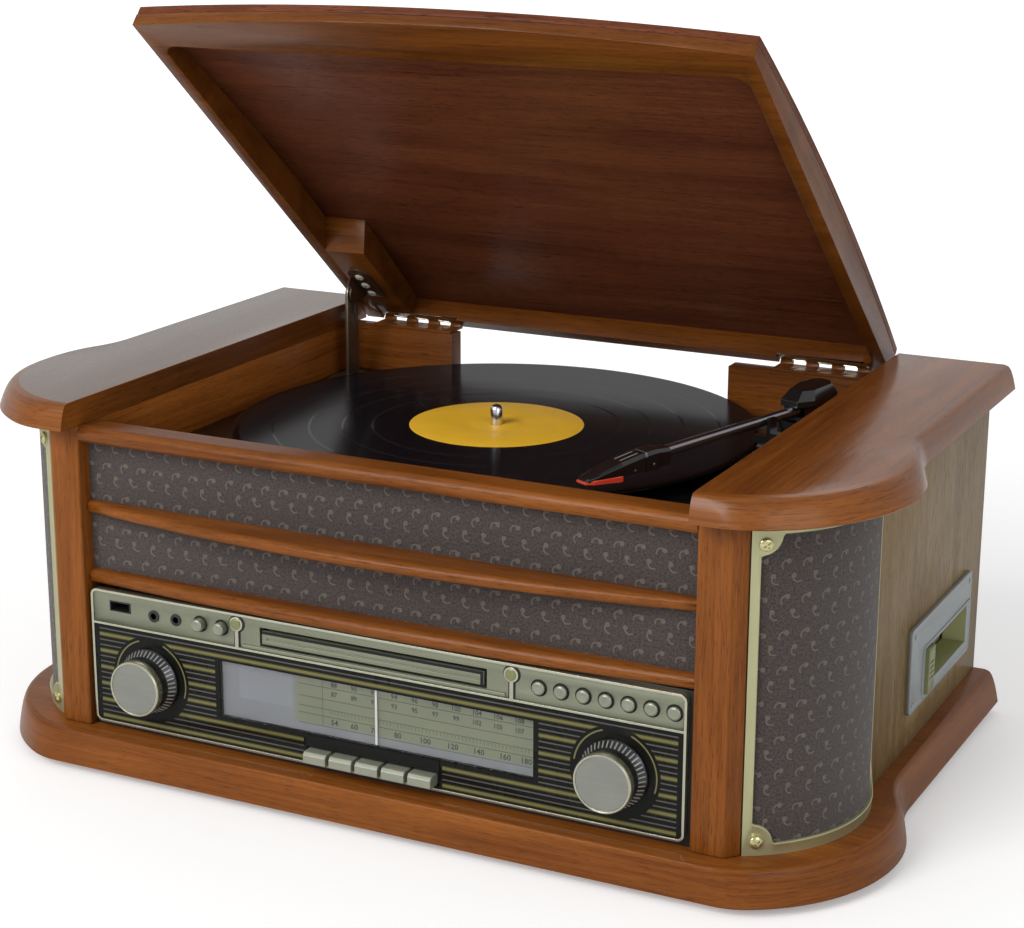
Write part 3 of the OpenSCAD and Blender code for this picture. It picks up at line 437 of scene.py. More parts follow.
def handled(shader, vector, rough, spread, tint):
    """Gives the shader a smudged colour and roughness; returns all that the group gives."""
    touch = use_group(shader.id_data, "handling", Vector=vector, Base=rough, Spread=spread, Color=tint)
    fill(shader, {"Base Color": touch["Color"], "Roughness": touch["Roughness"]})
    return touch


def tinted(tint):
    """A setting such as metal.gilt, or a screen colour."""
    if isinstance(tint, str):
        group, name = tint.split(".")
        return rgba(getattr(getattr(settings(), group), name))
    return rgba(linear(tint))


def wood_material(name, along, seed, pale, deep, pores, gloss=0.4, coat_ior=1.35):
    tree, shader = new_material(name)
    place = placed(tree, along, seed)
    grain = use_group(tree, "wood_grain", Vector=place, Pale=rgba(pale), Deep=rgba(deep), Pores=pores)
    coat = {"Coat Weight": gloss, "Coat Roughness": 0.22, "Coat IOR": coat_ior}
    look = {"Base Color": grain["Color"], "Roughness": grain["Roughness"], "Specular IOR Level": 0.05}
    fill(shader, {**look, **coat})
    bump(shader, grain["Height"], 0.00012, 0.6)


def plain_material(name, tint, rough, spread=0.08, metallic=0.0, coat=0.0, grit=0.00002):
    tree, shader = new_material(name)
    touch = handled(shader, placed(tree), rough, spread, tinted(tint))
    fill(shader, {"Metallic": metallic, "Coat Weight": coat, "Coat Roughness": 0.1})
    bump(shader, touch["Height"], grit)


def brushed_material(name, tint, along, rough, metallic):
    tree, shader = new_material(name)
    vector = placed(tree, along)
    lines = vector.mapped(Scale=(12, 3200, 3200)).noise(1, 3, 0.6)
    touch = handled(shader, vector, rough, 0.08, tinted(tint))
    shade = touch["Color"].times(lines.mix(grey(0.8), grey(1.15)))
    rough_now = lines * 0.14 + touch["Roughness"]
    fill(shader, {"Base Color": shade, "Roughness": rough_now, "Metallic": metallic})
    bump(shader, lines, 0.00002)


# Name, grain's axis, seed, tone and gloss of each stained finish; a tone above 1 is painted light, below 1
# painted shade
STAINS = (
    ("stain_moulding", "UV", 0.0, 1, 0.4),
    ("stain_wing", "UV", 0.41, 1, 0.8),
    ("stain_post", "Z", 0.13, 1, 0.4),
    ("stain_rail", "X", 0.27, 1, 0.4),
    ("stain_wall", "Y", 0.6, 1.35, 0.4),
    ("stain_rear", "X", 0.83, 0.75, 0.4),
    ("stain_rim", "X", 0.9, 0.72, 0.4),
)

# Name, colour, roughness, its spread, metallic, coat and bump height of each plain finish
PLAIN = (
    ("black_plastic", "metal.plastic", 0.45, 0.1),
    ("arm_gloss", "metal.plastic", 0.2, 0.06, 0.0, 0.5),
    ("arm_bar", (150, 150, 156), 0.12, 0.04, 0.95),
    # Pale ribs of the knobs stand for glints on a black fluted skirt: painted highlights
    ("rib_gloss", (150, 152, 150), 0.3, 0.06, 0.3),
    ("screw_pale", (208, 206, 192), 0.3, 0.06, 0.2),
    # Black sheets laid where gaps and recesses fall into shade: painted shade
    ("gap_black", (5, 5, 5), 0.8, 0.05),
    ("screw_brass", (206, 200, 150), 0.22, 0.06, 0.9),
    ("deck_satin", (20, 20, 22), 0.2),
    ("rubber", (22, 22, 22), 0.8, 0.1),
    ("stylus_red", (232, 74, 44), 0.35),
    ("pointer_white", (232, 224, 222), 0.35),
    ("gilt_trim", "metal.gilt", 0.36, 0.06, 0.6),
    ("bright_line", "metal.bright", 0.22, 0.05, 0.9),
    ("spindle_steel", (220, 220, 224), 0.15, 0.05, 1.0),
    ("hinge_bright", (214, 208, 190), 0.25, 0.08, 1.0),
    ("hinge_bronze", (74, 50, 32), 0.4, 0.08, 0.3),
    ("stay_nickel", (120, 112, 98), 0.34, 0.08, 0.8),
    ("olive_plastic", (128, 132, 88), 0.3, 0.06, 0.3),
    ("key_silver", (148, 150, 134), 0.3, 0.05, 0.3),
    ("line_print", (150, 150, 150), 0.4, 0.05),
    ("arc_print", "metal.line_gold", 0.4, 0.05),
    ("ink", "record.print_ink", 0.6),
    ("flap_grey", (142, 142, 116), 0.4),
    ("lip_olive", (124, 126, 78), 0.35, 0.08, 0.2),
    ("label_paper", "record.label", 0.5, 0.08, 0.0, 0.0, 0.00003),
)

# Name, colour, direction, roughness and metallic of each brushed finish
BRUSHED = (
    ("champagne", "metal.champagne", "X", 0.36, 0.7),
    ("knob_face", "metal.face", "X", 0.36, 0.8),
    ("bay_silver", (164, 170, 170), "Y", 0.34, 0.8),
    ("button_cap", (150, 152, 136), "X", 0.3, 0.7),
)


def make_wood_materials():
    wood = settings().wood
    for name, along, seed, tone, gloss in STAINS:
        # A tone other than 1 makes a lit or shaded copy of the same stain: painted light or painted shade
        pale, deep = ([tone * part for part in stain] for stain in (wood.stain_pale, wood.stain_deep))
        wood_material(name, along, seed, pale, deep, wood.pores, gloss)
    # The left wing's top: the stain darker and greyer, as painted shade, under a strong, hard coat
    left_top_painted_shade = (linear((104, 70, 42)), linear((80, 52, 28)))
    wood_material("stain_sheen", "UV", 0.52, *left_top_painted_shade, wood.pores, 0.9, 2.9)
    wood_material("panel_lid", "X", 0.71, wood.panel_pale, wood.panel_deep, 0.8, 0.1)
    wood_material("veneer_side", "Z", 0.2, wood.veneer_pale, wood.veneer_deep, 0.8, 0.12)


def make_cloth_material():
    cloth = settings().cloth
    tree, shader = new_material("grille_cloth")
    inputs = {"Ground": rgba(cloth.ground), "Fleck": rgba(cloth.fleck), "Pitch": cloth.pitch}
    weave = use_group(tree, "comma_cloth", Vector=placed(tree, "UV"), Thread=cloth.thread, **inputs)
    fill(shader, {"Base Color": weave["Color"], "Roughness": 0.75, "Sheen Weight": 0.25})
    bump(shader, weave["Height"], 0.0003, 0.8)


def make_dial_panel_material():
    """Black lacquer with broad gold lines, and two thin grey ones between each pair."""
    metal = settings().metal
    tree, shader = new_material("dial_lacquer")
    place = source(tree, "Object")
    axes = place.split()
    x, z = abs(axes[0] / MM), axes[2] / MM
    off = abs((z - (LINE_Z - LINE_PITCH / 2)) % LINE_PITCH - LINE_PITCH / 2)
    beyond_knob = combined(x, z).distance((KNOB_X, KNOB_Z, 0)) > 24.6
    window = (x < DIAL_X + 3) * ((z > DIAL_Z[0] - 1.2) * (z < DIAL_Z[1] + 1.2))
    keys = (x < 41.5) * (z < 46)
    keep = beyond_knob * (x < 171.5) * ((1 - (window | keys)) * (z < 84))
    dark_gold = tuple(0.35 * part for part in metal.line_gold) + (1.0,)
    lines = (
        (off < 1.35, dark_gold),
        (off < 0.75, rgba(metal.line_gold)),
        (abs(off - 3.25) < 0.38, rgba(metal.line_grey)),
    )
    tint = rgba(metal.lacquer)
    for line, ink in lines:
        tint = (line * keep).mix(tint, ink)
    handled(shader, place, 0.28, 0.06, tint)
    fill(shader, {"Specular IOR Level": 0.15})


def make_scale_material():
    """Pale grey scale, greener where the printed bands are, with a paler patch at its left."""
    record = settings().record
    tree, shader = new_material("dial_scale")
    place = source(tree, "Object")
    axes = place.split()
    x, z = axes[0] / MM, axes[2] / MM
    green = x.ramp(-50, -46) * (z.ramp(50, 52) * z.ramp(76, 75))
    patch = x.ramp(-83, -82) * x.ramp(-49, -50) * z.ramp(57, 58)
    tint = green.mix(rgba(record.dial_grey), rgba(record.dial_green))
    handled(shader, place, 0.5, 0.1, (patch * 0.2).mix(tint, (0.42, 0.42, 0.47, 1)))


def make_glass_material():
    tree, shader = new_material("dial_glass")
    film = placed(tree).noise(30, 3).ramp(0.3, 0.7, 0.0, 0.012)
    clear = {"Base Color": (0.95, 0.97, 0.97, 1), "Transmission Weight": 1.0, "IOR": 1.3}
    fill(shader, {**clear, "Roughness": film})


def make_vinyl_material():
    """Glossy black with fine grooves, and a few smooth gaps between its tracks that are painted lighter, a
    painted reflection.
    """
    record = settings().record
    tree, shader = new_material("vinyl")
    x, y, _ = source(tree, "Object").split()
    radius = combined(x, y).distance((RECORD_C.x * MM, RECORD_C.y * MM, 0))
    wave = (radius * TURN / record.groove).op("SINE")
    density = combined(radius, 0.0).noise(900, 3, 0.7)
    gaps = reduce(Value.__or__, [abs(radius - r * MM).ramp(0.0009, 0.0004) for r in TRACK_GAPS])
    grooved = 1 - (gaps | (radius > 0.1465))
    tone = (density * grooved).mix(rgba(record.vinyl), (0.010, 0.010, 0.014, 1))
    # The smooth gaps get a lighter colour than the grooves: a painted reflection
    fill(
        shader,
        {
            "Base Color": gaps.mix(tone, (0.02, 0.02, 0.024, 1)),
            "Roughness": grooved * (density * 0.14 + 0.03) + 0.07,
            "Coat Weight": gaps * 0.05 + (density * 0.08 + 0.03),
            "Coat Roughness": 0.1,
            "Specular IOR Level": 0.05,
        },
    )
    bump(shader, (density * 0.7 + wave) * grooved, 0.000012)


# Mesh helpers


def add_object(name, mesh):
    made = bpy.data.objects.new(name, mesh)
    bpy.context.scene.collection.objects.link(made)
    return made


def mesh_from(name, verts, faces, uvs=None):
    """Mesh from points in millimetres; uvs, in metres, has one pair for each corner of each face."""
    mesh = bpy.data.meshes.new(name)
    mesh.from_pydata([[c * MM for c in v] for v in verts], [], faces)
    if uvs:
        layer = mesh.uv_layers.new(name="UVMap")
        for i, pair in enumerate(pair for face in uvs for pair in face):
            layer.data[i].uv = pair
    mesh.update()
    return mesh


def smooth(mesh, angle=35):
    for polygon in mesh.polygons:
        polygon.use_smooth = True
    mesh.set_sharp_from_angle(angle=math.radians(angle))


def evaluated(obj):
    """The object's mesh with its modifiers worked out."""
    bpy.context.view_layer.update()
    graph = bpy.context.evaluated_depsgraph_get()
    return bpy.data.meshes.new_from_object(obj.evaluated_get(graph))


def applied(obj):
    """Replaces the object's mesh by the result of its modifiers."""
    mesh = evaluated(obj)
    obj.modifiers.clear()
    obj.data = mesh
    return obj


def body_of(node):
    return frame["nodes"][node]["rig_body"]


def finish_piece(obj, material, body, slot, *nodes):
    """Gives the piece its finish and its body, and hides the CAD nodes that it stands for."""
    obj.data.materials.clear()
    obj.data.materials.append(finish(material))
    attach(obj, body)
    if nodes:
        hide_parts(*nodes)
    return obj


def eased(obj, radius, angle=35):
    """Rounds the mesh's edges by radius, in millimetres."""
    made = obj.modifiers.new("ease", "BEVEL")
    made.width = radius * MM
    made.segments = 2
    made.limit_method = "ANGLE"
    made.angle_limit = math.radians(angle)
    made.harden_normals = True
    made.use_clamp_overlap = True
    return applied(obj)


def reworked(mesh, *steps):
    """Runs bmesh steps on the mesh."""
    work = bmesh.new()
    work.from_mesh(mesh)
    for step in steps:
        step(work)
    work.to_mesh(mesh)
    work.free()
    return mesh


def weld(work):
    bmesh.ops.remove_doubles(work, verts=work.verts, dist=2e-6)


def join_flats(work):
    bmesh.ops.dissolve_limit(work, angle_limit=math.radians(0.6), verts=work.verts, edges=work.edges)


def turn_outward(work):
    bmesh.ops.recalc_face_normals(work, faces=work.faces)


def soft_copy(name, node, material, slot, radius=0.0, uv=None):
    """Stands for a CAD node with the same shape, its edges eased by radius, and a new finish."""
    mesh = frame["nodes"][node].data.copy()
    mesh.name = name
    obj = add_object(name, reworked(mesh, weld, join_flats))
    for polygon in mesh.polygons:
        polygon.use_smooth = True
    if radius > 0:
        eased(obj, radius)
    else:
        smooth(mesh)
    if uv:
        while obj.data.uv_layers:
            obj.data.uv_layers.remove(obj.data.uv_layers[0])
        layer = obj.data.uv_layers.new(name="UVMap")
        for loop in obj.data.loops:
            layer.data[loop.index].uv = uv(obj.data.vertices[loop.vertex_index].co)
    return finish_piece(obj, material, body_of(node), slot, node)


def solid(name, verts, faces, angle=None):
    """Object of a closed mesh, its faces turned outwards."""
    mesh = reworked(mesh_from(name, verts, faces), turn_outward)
    if angle:
        smooth(mesh, angle)
    return add_object(name, mesh)


def revolved(name, profile, centre, axis, steps=96):
    """Turned piece: profile holds (distance along the axis, radius) pairs, in millimetres."""
    axis = Vector(axis).normalized()
    side = axis.orthogonal().normalized()
    other = axis.cross(side)
    verts, faces, rings = [], [], []
    for along, r in profile:
        middle = Vector(centre) + axis * along
        if r < 1e-6:
            rings.append([len(verts)])
            verts.append(middle)
            continue
        rings.append(range(len(verts), len(verts) + steps))
        for k in range(steps):
            a = 2 * math.pi * k / steps
            verts.append(middle + r * (math.cos(a) * side + math.sin(a) * other))
    for low, high in zip(rings, rings[1:]):
        for k in range(steps):
            n = (k + 1) % steps
            if len(low) == 1:
                faces.append((low[0], high[n], high[k]))
            elif len(high) == 1:
                faces.append((low[k], low[n], high[0]))
            else:
                faces.append((low[k], low[n], high[n], high[k]))
    return solid(name, verts, faces, 32)


def lofted(name, rings):
    """Closed solid through rings that all have the same number of points."""
    n, last = len(rings[0]), len(rings) * len(rings[0])
    faces = [tuple(range(n)), tuple(range(last - 1, last - n - 1, -1))]
    for k in range(0, last - n, n):
        faces += [(k + i, k + (i + 1) % n, k + n + (i + 1) % n, k + n + i) for i in range(n)]
    return solid(name, [p for ring in rings for p in ring], faces)


def slab(name, outline, low, high, axis="Y"):
    """Flat plate; the outline's numbers are x and z (axis Y), y and z (axis X) or x and y (axis Z)."""
    at = "XYZ".index(axis)
    return lofted(name, [[(*p[:at], depth, *p[at:]) for p in outline] for depth in (low, high)])


# Rise and radius of a screw's head, as shares of its radius
SCREW_DOME = ((0.25, 1), (0.42, 0.8), (0.5, 0.45), (0.52, 0))


def screw(centre, axis, r):
    """Domed screw with a cross in its head; axis points out of the surface."""
    dome = [(rise * r, share * r) for rise, share in SCREW_DOME]
    head = revolved("screw", [(-0.6, 0), (-0.6, r), *dome], (0, 0, 0), UP, 32)
    w, half = 0.62 * r, 0.13 * r
    for a, b in ((w, half), (half, w)):
        bar = slab("bar", rectangle(-a, -b, a, b), 0.22 * r, r, "Z")
        cut = head.modifiers.new("cut", "BOOLEAN")
        cut.object = bar
        applied(head)
        bpy.data.objects.remove(bar)
    turn = Vector(axis).to_track_quat("Z", "Y").to_matrix().to_4x4() @ Matrix.Rotation(0.6, 4, "Z")
    head.data.transform(at_mm(centre) @ turn)
    return head


def at_mm(place):
    return Matrix.Translation([c * MM for c in place])


def rectangle(x0, z0, x1, z1):
    return [(x0, z0), (x1, z0), (x1, z1), (x0, z1)]


def arc_points(centre, r, a0, a1, n):
    angles = (math.radians(a0 + (a1 - a0) * i / n) for i in range(n + 1))
    return [(centre[0] + r * math.cos(a), centre[1] + r * math.sin(a)) for a in angles]


def joined(name, pieces):
    """One object out of several."""
    work = bmesh.new()
    for piece in pieces:
        work.from_mesh(piece.data)
        bpy.data.objects.remove(piece)
    mesh = bpy.data.meshes.new(name)
    work.to_mesh(mesh)
    work.free()
    return add_object(name, mesh)


# Repeats in Geometry Nodes


def new_repeat(name, inputs):
    """Empty repeat tree; its last two inputs are the piece that it copies and its material."""
    shared = {"Piece": ("Object", None), "Material": ("Material", None)}
    inputs = {"Geometry": ("Geometry", None), **inputs, **shared}
    return new_group(name, inputs, {"Geometry": "Geometry"}, "GeometryNodeTree")


def close_repeat(start, end, points, **turn):
    """Ends a repeat tree: the piece on every point, made real and given its material."""
    piece = points.add("GeometryNodeObjectInfo", {"Object": start["Piece"]}, "Geometry")
    copies = points.add("GeometryNodeInstanceOnPoints", {"Points": points, "Instance": piece, **turn})
    real = copies.add("GeometryNodeRealizeInstances", {0: copies})
    inputs = {"Geometry": real, "Material": start["Material"]}
    fill(end, {"Geometry": real.add("GeometryNodeSetMaterial", inputs)})


def make_ring_tree():
    """Copies of a piece round the z axis, each turned outwards."""
    start, end = new_repeat("ring_of_pieces", {"Count": ("Int", 12), "Radius": ("Float", 0.01)})
    inputs = {"Vertices": start["Count"], "Radius": start["Radius"]}
    circle = start["Count"].add("GeometryNodeMeshCircle", inputs)
    angle = circle.add("GeometryNodeInputIndex", {}) / start["Count"] * (2 * math.pi)
    close_repeat(start, end, circle, Rotation=angle.add("ShaderNodeCombineXYZ", {2: angle}))


def make_row_tree():
    """Copies of a piece in a straight row."""
    inputs = {"Count": ("Int", 5), "Start": ("Vector", (0, 0, 0)), "Step": ("Vector", (0.01, 0, 0))}
    start, end = new_repeat("row_of_pieces", inputs)
    inputs = {"Count": start["Count"], "Start Location": start["Start"], "Offset": start["Step"]}
    close_repeat(start, end, start["Count"].add("GeometryNodeMeshLine", inputs))


def repeated(name, tree_name, piece, material, place=None, **values):
    """Runs a repeat tree to a plain mesh and removes the piece that it copied."""
    carrier = add_object(name, bpy.data.meshes.new(name))
    made = carrier.modifiers.new("repeat", "NODES")
    made.node_group = bpy.data.node_groups[tree_name]
    values.update(Piece=piece, Material=finish(material))
    for item in made.node_group.interface.items_tree:
        if item.in_out == "INPUT" and item.name in values:
            made[item.identifier] = values[item.name]
    applied(carrier)
    bpy.data.objects.remove(piece)
    if place is not None:
        carrier.data.transform(place)
    smooth(carrier.data)
    return carrier


# Stage


class MUSIC_OT_stage(bpy.types.Operator):
    """Sets the camera, the pale floor and the soft light"""

    bl_idname = "music_centre.stage"
    bl_label = "Stage"

    def execute(self, context):
        make_camera()
        make_floor()
        make_world()
        stage = settings().stage
        make_lamp("key_lamp", (-0.9, -2.7, 1.95), 1.8, stage.key)
        make_lamp("fill_lamp", (2.2, -1.4, 1.2), 1.6, stage.fill)
        make_lamp("rear_lamp", (-0.6, 1.9, 2.1), 1.4, stage.rear)
        return {"FINISHED"}


def make_camera():
    """Camera at the place, turn, rise and roll that fit the photo."""
    turn, rise, roll = (math.radians(angle) for angle in (26.347, 15.874, 0.221))
    back = Vector((math.sin(turn) * math.cos(rise), -math.cos(turn) * math.cos(rise), math.sin(rise)))
    right = Vector((math.cos(turn), math.sin(turn), 0))
    rolled_right = math.cos(roll) * right + math.sin(roll) * back.cross(right)
    data = bpy.data.cameras.new("camera")
    data.sensor_width, data.lens = 36, 79.67
    data.clip_start, data.clip_end = 0.05, 50
    camera = add_object("camera", data)
    axes = Matrix([list(row) for row in zip(rolled_right, back.cross(rolled_right), back)])
    camera.matrix_world = Matrix.Translation((0.5516, -1.1018, 0.5110)) @ axes.to_4x4()
    bpy.context.scene.camera = camera


def make_lamp(name, place, size, power):
    """Square lamp that looks at the middle of the set."""
    data = bpy.data.lights.new(name, "AREA")
    data.size = size
    data.energy = power
    lamp = add_object(name, data)
    lamp.location = place
    lamp.rotation_mode = "QUATERNION"
    lamp.rotation_quaternion = (Vector((0, 0, 0.15)) - lamp.location).to_track_quat("-Z", "Y")


def make_floor():
    """Round floor that the camera sees brighten to white away from the set."""
    floor = revolved("floor", [(-4, 0), (-4, 6000), (0, 6000), (0, 0)], (0, 0, 0), UP, 64)
    tree, shader = new_material("floor_paper")
    away = source(tree, "Object").distance()
    glow = source(tree, "Is Camera Ray", "ShaderNodeLightPath") * away.ramp(0.5, 2.4, 0.26, 0.8)
    paper = {"Base Color": rgba(settings().stage.floor), "Roughness": 0.9}
    fill(shader, {**paper, "Emission Color": grey(1), "Emission Strength": glow})
    floor.data.materials.append(finish("floor_paper"))


def make_world():
    """White backdrop for the camera and through the window, dimmer light for all other rays."""
    world = bpy.data.worlds.new("backdrop")
    world.use_nodes = True
    bpy.context.scene.world = world
    tree = world.node_tree
    kinds = ("Camera", "Transmission", "Glossy")
    camera, through, glossy = (source(tree, f"Is {kind} Ray", "ShaderNodeLightPath") for kind in kinds)
    sky, mirrored = settings().stage.sky, settings().stage.mirrored
    strength = (camera | through) | (glossy * (mirrored - sky) + sky)
    fill(tree.nodes["Background"], {"Strength": strength, "Color": grey(1)})
    bpy.context.scene.view_settings.view_transform = "Standard"


# Cabinet


def corner_plan(swell, front, inset=0.0, flare=0.0):
    """Right half of the cabinet's plan, from the front line round the nose to the rear."""
    rb = NOSE_R + swell - inset
    s60, c60 = math.sin(math.radians(60)), 0.5
    ra = (front - s60 * rb) / (1 - s60)
    flank = (NOSE.x + NOSE_R - FLANK_R, NOSE.y)
    neck = arc_points(flank, FLANK_R + NECK_R, NECK_ANGLE, NECK_ANGLE, 1)[0]
    points = arc_points((NOSE.x + (rb - ra) * c60, NOSE.y - (rb - ra) * s60), ra, -90, -60, 10)
    points += arc_points(NOSE, rb, -60, 0, 28)[1:]
    for k in range(1, 13):
        a, r = math.radians(NECK_ANGLE * k / 12), FLANK_R + swell - inset * (1 - k / 12)
        points.append((flank[0] + r * math.cos(a), flank[1] + r * math.sin(a)))
    points += arc_points(neck, NECK_R - swell, 180 + NECK_ANGLE, 180, 16)[1:]
    x, y = neck[0] - NECK_R + swell, points[-1][1]
    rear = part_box("wings")[1].y / MM
    return points + [(x + flare * k / 6, y + (rear - y) * k / 6) for k in range(1, 7)]


def edge_profile(swell, thick):
    """(offset, share of the swelling, drop) down a moulded edge with eased corners."""
    ease, steps = 1.1, 16
    rows = [(-ease, 0.0, 0.0), (-ease * 0.3, 0.0, ease * 0.2)]
    for i in range(1, steps + 1):
        t = (i / steps) ** 1.8
        share = t**EDGE_POWER
        drop = ease * 0.4 + t * (thick - ease * 0.4)
        rows.append((swell * share, share, min(drop, thick - ease * 0.8)))
    # The last row turns under the board's lower corner
    rows[-1:] = [(swell - 0.15, 1.0, thick - ease * 0.6), (swell - ease * 0.7, 1.0, thick)]
    return rows


def moulded_board(name, rings, cap_grain):
    """Board lofted through rings of (x, y, z), the top one first; its map runs along the edge."""
    n, last = len(rings[0]), (len(rings) - 1) * len(rings[0])
    along, down = [0.0], [0.0]
    for i in range(n):
        along.append(along[-1] + math.dist(rings[0][i], rings[0][(i + 1) % n]) * MM)
    for upper, lower in zip(rings, rings[1:]):
        down.append(down[-1] + math.dist(upper[0], lower[0]) * MM)
    faces, uvs = [], []
    for k in range(len(rings) - 1):
        for i in range(n):
            j = (i + 1) % n
            faces.append(((k + 1) * n + i, (k + 1) * n + j, k * n + j, k * n + i))
            corners = ((i, k + 1), (i + 1, k + 1), (i + 1, k), (i, k))
            uvs.append([(along[a], down[d]) for a, d in corners])
    cap = [cap_grain(p) for p in rings[0]]
    faces += [tuple(range(n)), tuple(range(last + n - 1, last - 1, -1))]
    uvs += [cap, cap[::-1]]
    mesh = mesh_from(name, [p for ring in rings for p in ring], faces, uvs)
    smooth(mesh, 40)
    return add_object(name, mesh)


class MUSIC_OT_base(bpy.types.Operator):
    """Makes the moulded base board and its rubber feet"""

    bl_idname = "music_centre.base"
    bl_label = "Base"

    def execute(self, context):
        low, high = (corner.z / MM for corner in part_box("base_plinth"))
        rings = []
        for offset, share, drop in edge_profile(6, high - low):
            front = BASE_FRONT + (BASE_FRONT_LOW - BASE_FRONT) * share + min(offset, 0)
            half = [(x, y, high - drop) for x, y in corner_plan(offset, front, 0, BASE_FLARE * share)]
            rings.append([(-x, y, z) for x, y, z in reversed(half)] + half)
        board = moulded_board("base_moulding", rings, lambda p: (p[0] * MM, p[1] * MM))
        finish_piece(board, "stain_moulding", "cabinet", "stained_wood", "base_plinth")
        soft_copy("foot_pads", "feet", "rubber", "rubber", 0.6)
        return {"FINISHED"}


class MUSIC_OT_carcass(bpy.types.Operator):
    """Makes the wings, posts, rails and panels of the cabinet"""

    bl_idname = "music_centre.carcass"
    bl_label = "Carcass"

    def execute(self, context):
        low, high = (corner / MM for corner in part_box("wings"))
        rings = []
        for offset, share, drop in edge_profile(6.4, high.z - low.z):
            front = WING_FRONT + (WING_FRONT_LOW - WING_FRONT) * share + min(offset, 0)
            half = corner_plan(offset, front, WING_INSET * (1 - share))
            edge = WELL_X - min(offset, 0) * 0.6
            outline = [(edge, high.y), (edge, half[0][1]), *half]
            rings.append([(x, y, high.z - drop) for x, y in outline])
        right = moulded_board("wing_right", rings, lambda p: (p[1] * MM, p[0] * MM))
        mirrored = [[(-x, y, z) for x, y, z in reversed(ring)] for ring in rings]
        left = moulded_board("wing_left", mirrored, lambda p: (p[1] * MM + 0.9, p[0] * MM))
        for board in (right, left):
            finish_piece(board, "stain_wing", "cabinet", "stained_wood", "wings")
        # The left board's top, its first cap, has a finish of its own: a darker, greyer copy of the stain,
        # painted shade
        left.data.materials.append(finish("stain_sheen"))
        left.data.polygons[(len(rings) - 1) * len(rings[0])].material_index = 1
        edge = settings().wood.edge / MM
        soft_copy("corner_posts", "columns", "stain_post", "stained_wood", edge)
        soft_copy("rail_set", "front_rails", "stain_rail", "stained_wood")
        soft_copy("well_walls", "inner_walls", "stain_wall", "stained_wood", 0.8)
        soft_copy("back_board", "rear_wall", "stain_rear", "stained_wood", 0.8)
        soft_copy("side_boards", "side_panels", "veneer_side", "veneer", 0.6)
        return {"FINISHED"}


class MUSIC_OT_cloth(bpy.types.Operator):
    """Covers the front and the two speaker corners with grille cloth"""

    bl_idname = "music_centre.cloth"
    bl_label = "Grille cloth"

    def execute(self, context):
        maps = (("front", "front_cloth", lambda p: (p.x, p.z)), ("corners", "speaker_cloths", corner_map))
        for name, node, uv in maps:
            soft_copy(f"cloth_{name}", node, "grille_cloth", "grille_cloth", 0, uv)
        return {"FINISHED"}


def corner_map(p):
    """Unrolls the speaker corner: distance round the nose, and height."""
    side = math.copysign(1, p.x)
    angle = math.atan2(p.y / MM - NOSE.y, abs(p.x) / MM - NOSE.x)
    return (side * angle * CLOTH_R * MM + 0.3, p.z)


class MUSIC_OT_trims(bpy.types.Operator):
    """Makes the gilt frames and screws of the speaker corners"""

    bl_idname = "music_centre.trims"
    bl_label = "Speaker trims"

    def execute(self, context):
        low, high = (c.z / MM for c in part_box("speaker_cloths"))
        s0, s1 = math.radians(-62.5) * TRIM_R, math.radians(30) * (TRIM_R - TRIM_FLANK)
        opening = (s0 + 4.9, low + 6, s1 - 1, high - 7.7)
        at = math.radians(-57.3)
        for side, name in ((1, "trim_right"), (-1, "trim_left")):
            plate = trim_plate(name, side, (s0, low, s1, high), opening)
            finish_piece(plate, "gilt_trim", "cabinet", "gilt_trim", "speaker_trims")
            way = (side * math.cos(at), math.sin(at), 0)
            heads = [screw(corner_point(at * TRIM_R, z, -0.2, side), way, 3.3) for z in (32.1, 184.6)]
            finish_piece(joined(name + "_screws", heads), "screw_brass", "cabinet", "gilt_trim")
        return {"FINISHED"}


def corner_point(s, z, lift, side):
    """Point of the speaker corner: s runs round it from the nose's side, lift stands off the trim."""
    flank = TRIM_FLANK if s > 0 else 0
    r = TRIM_R - flank
    reach = r + lift
    return (side * (NOSE.x + flank + reach * math.cos(s / r)), NOSE.y + reach * math.sin(s / r), z)


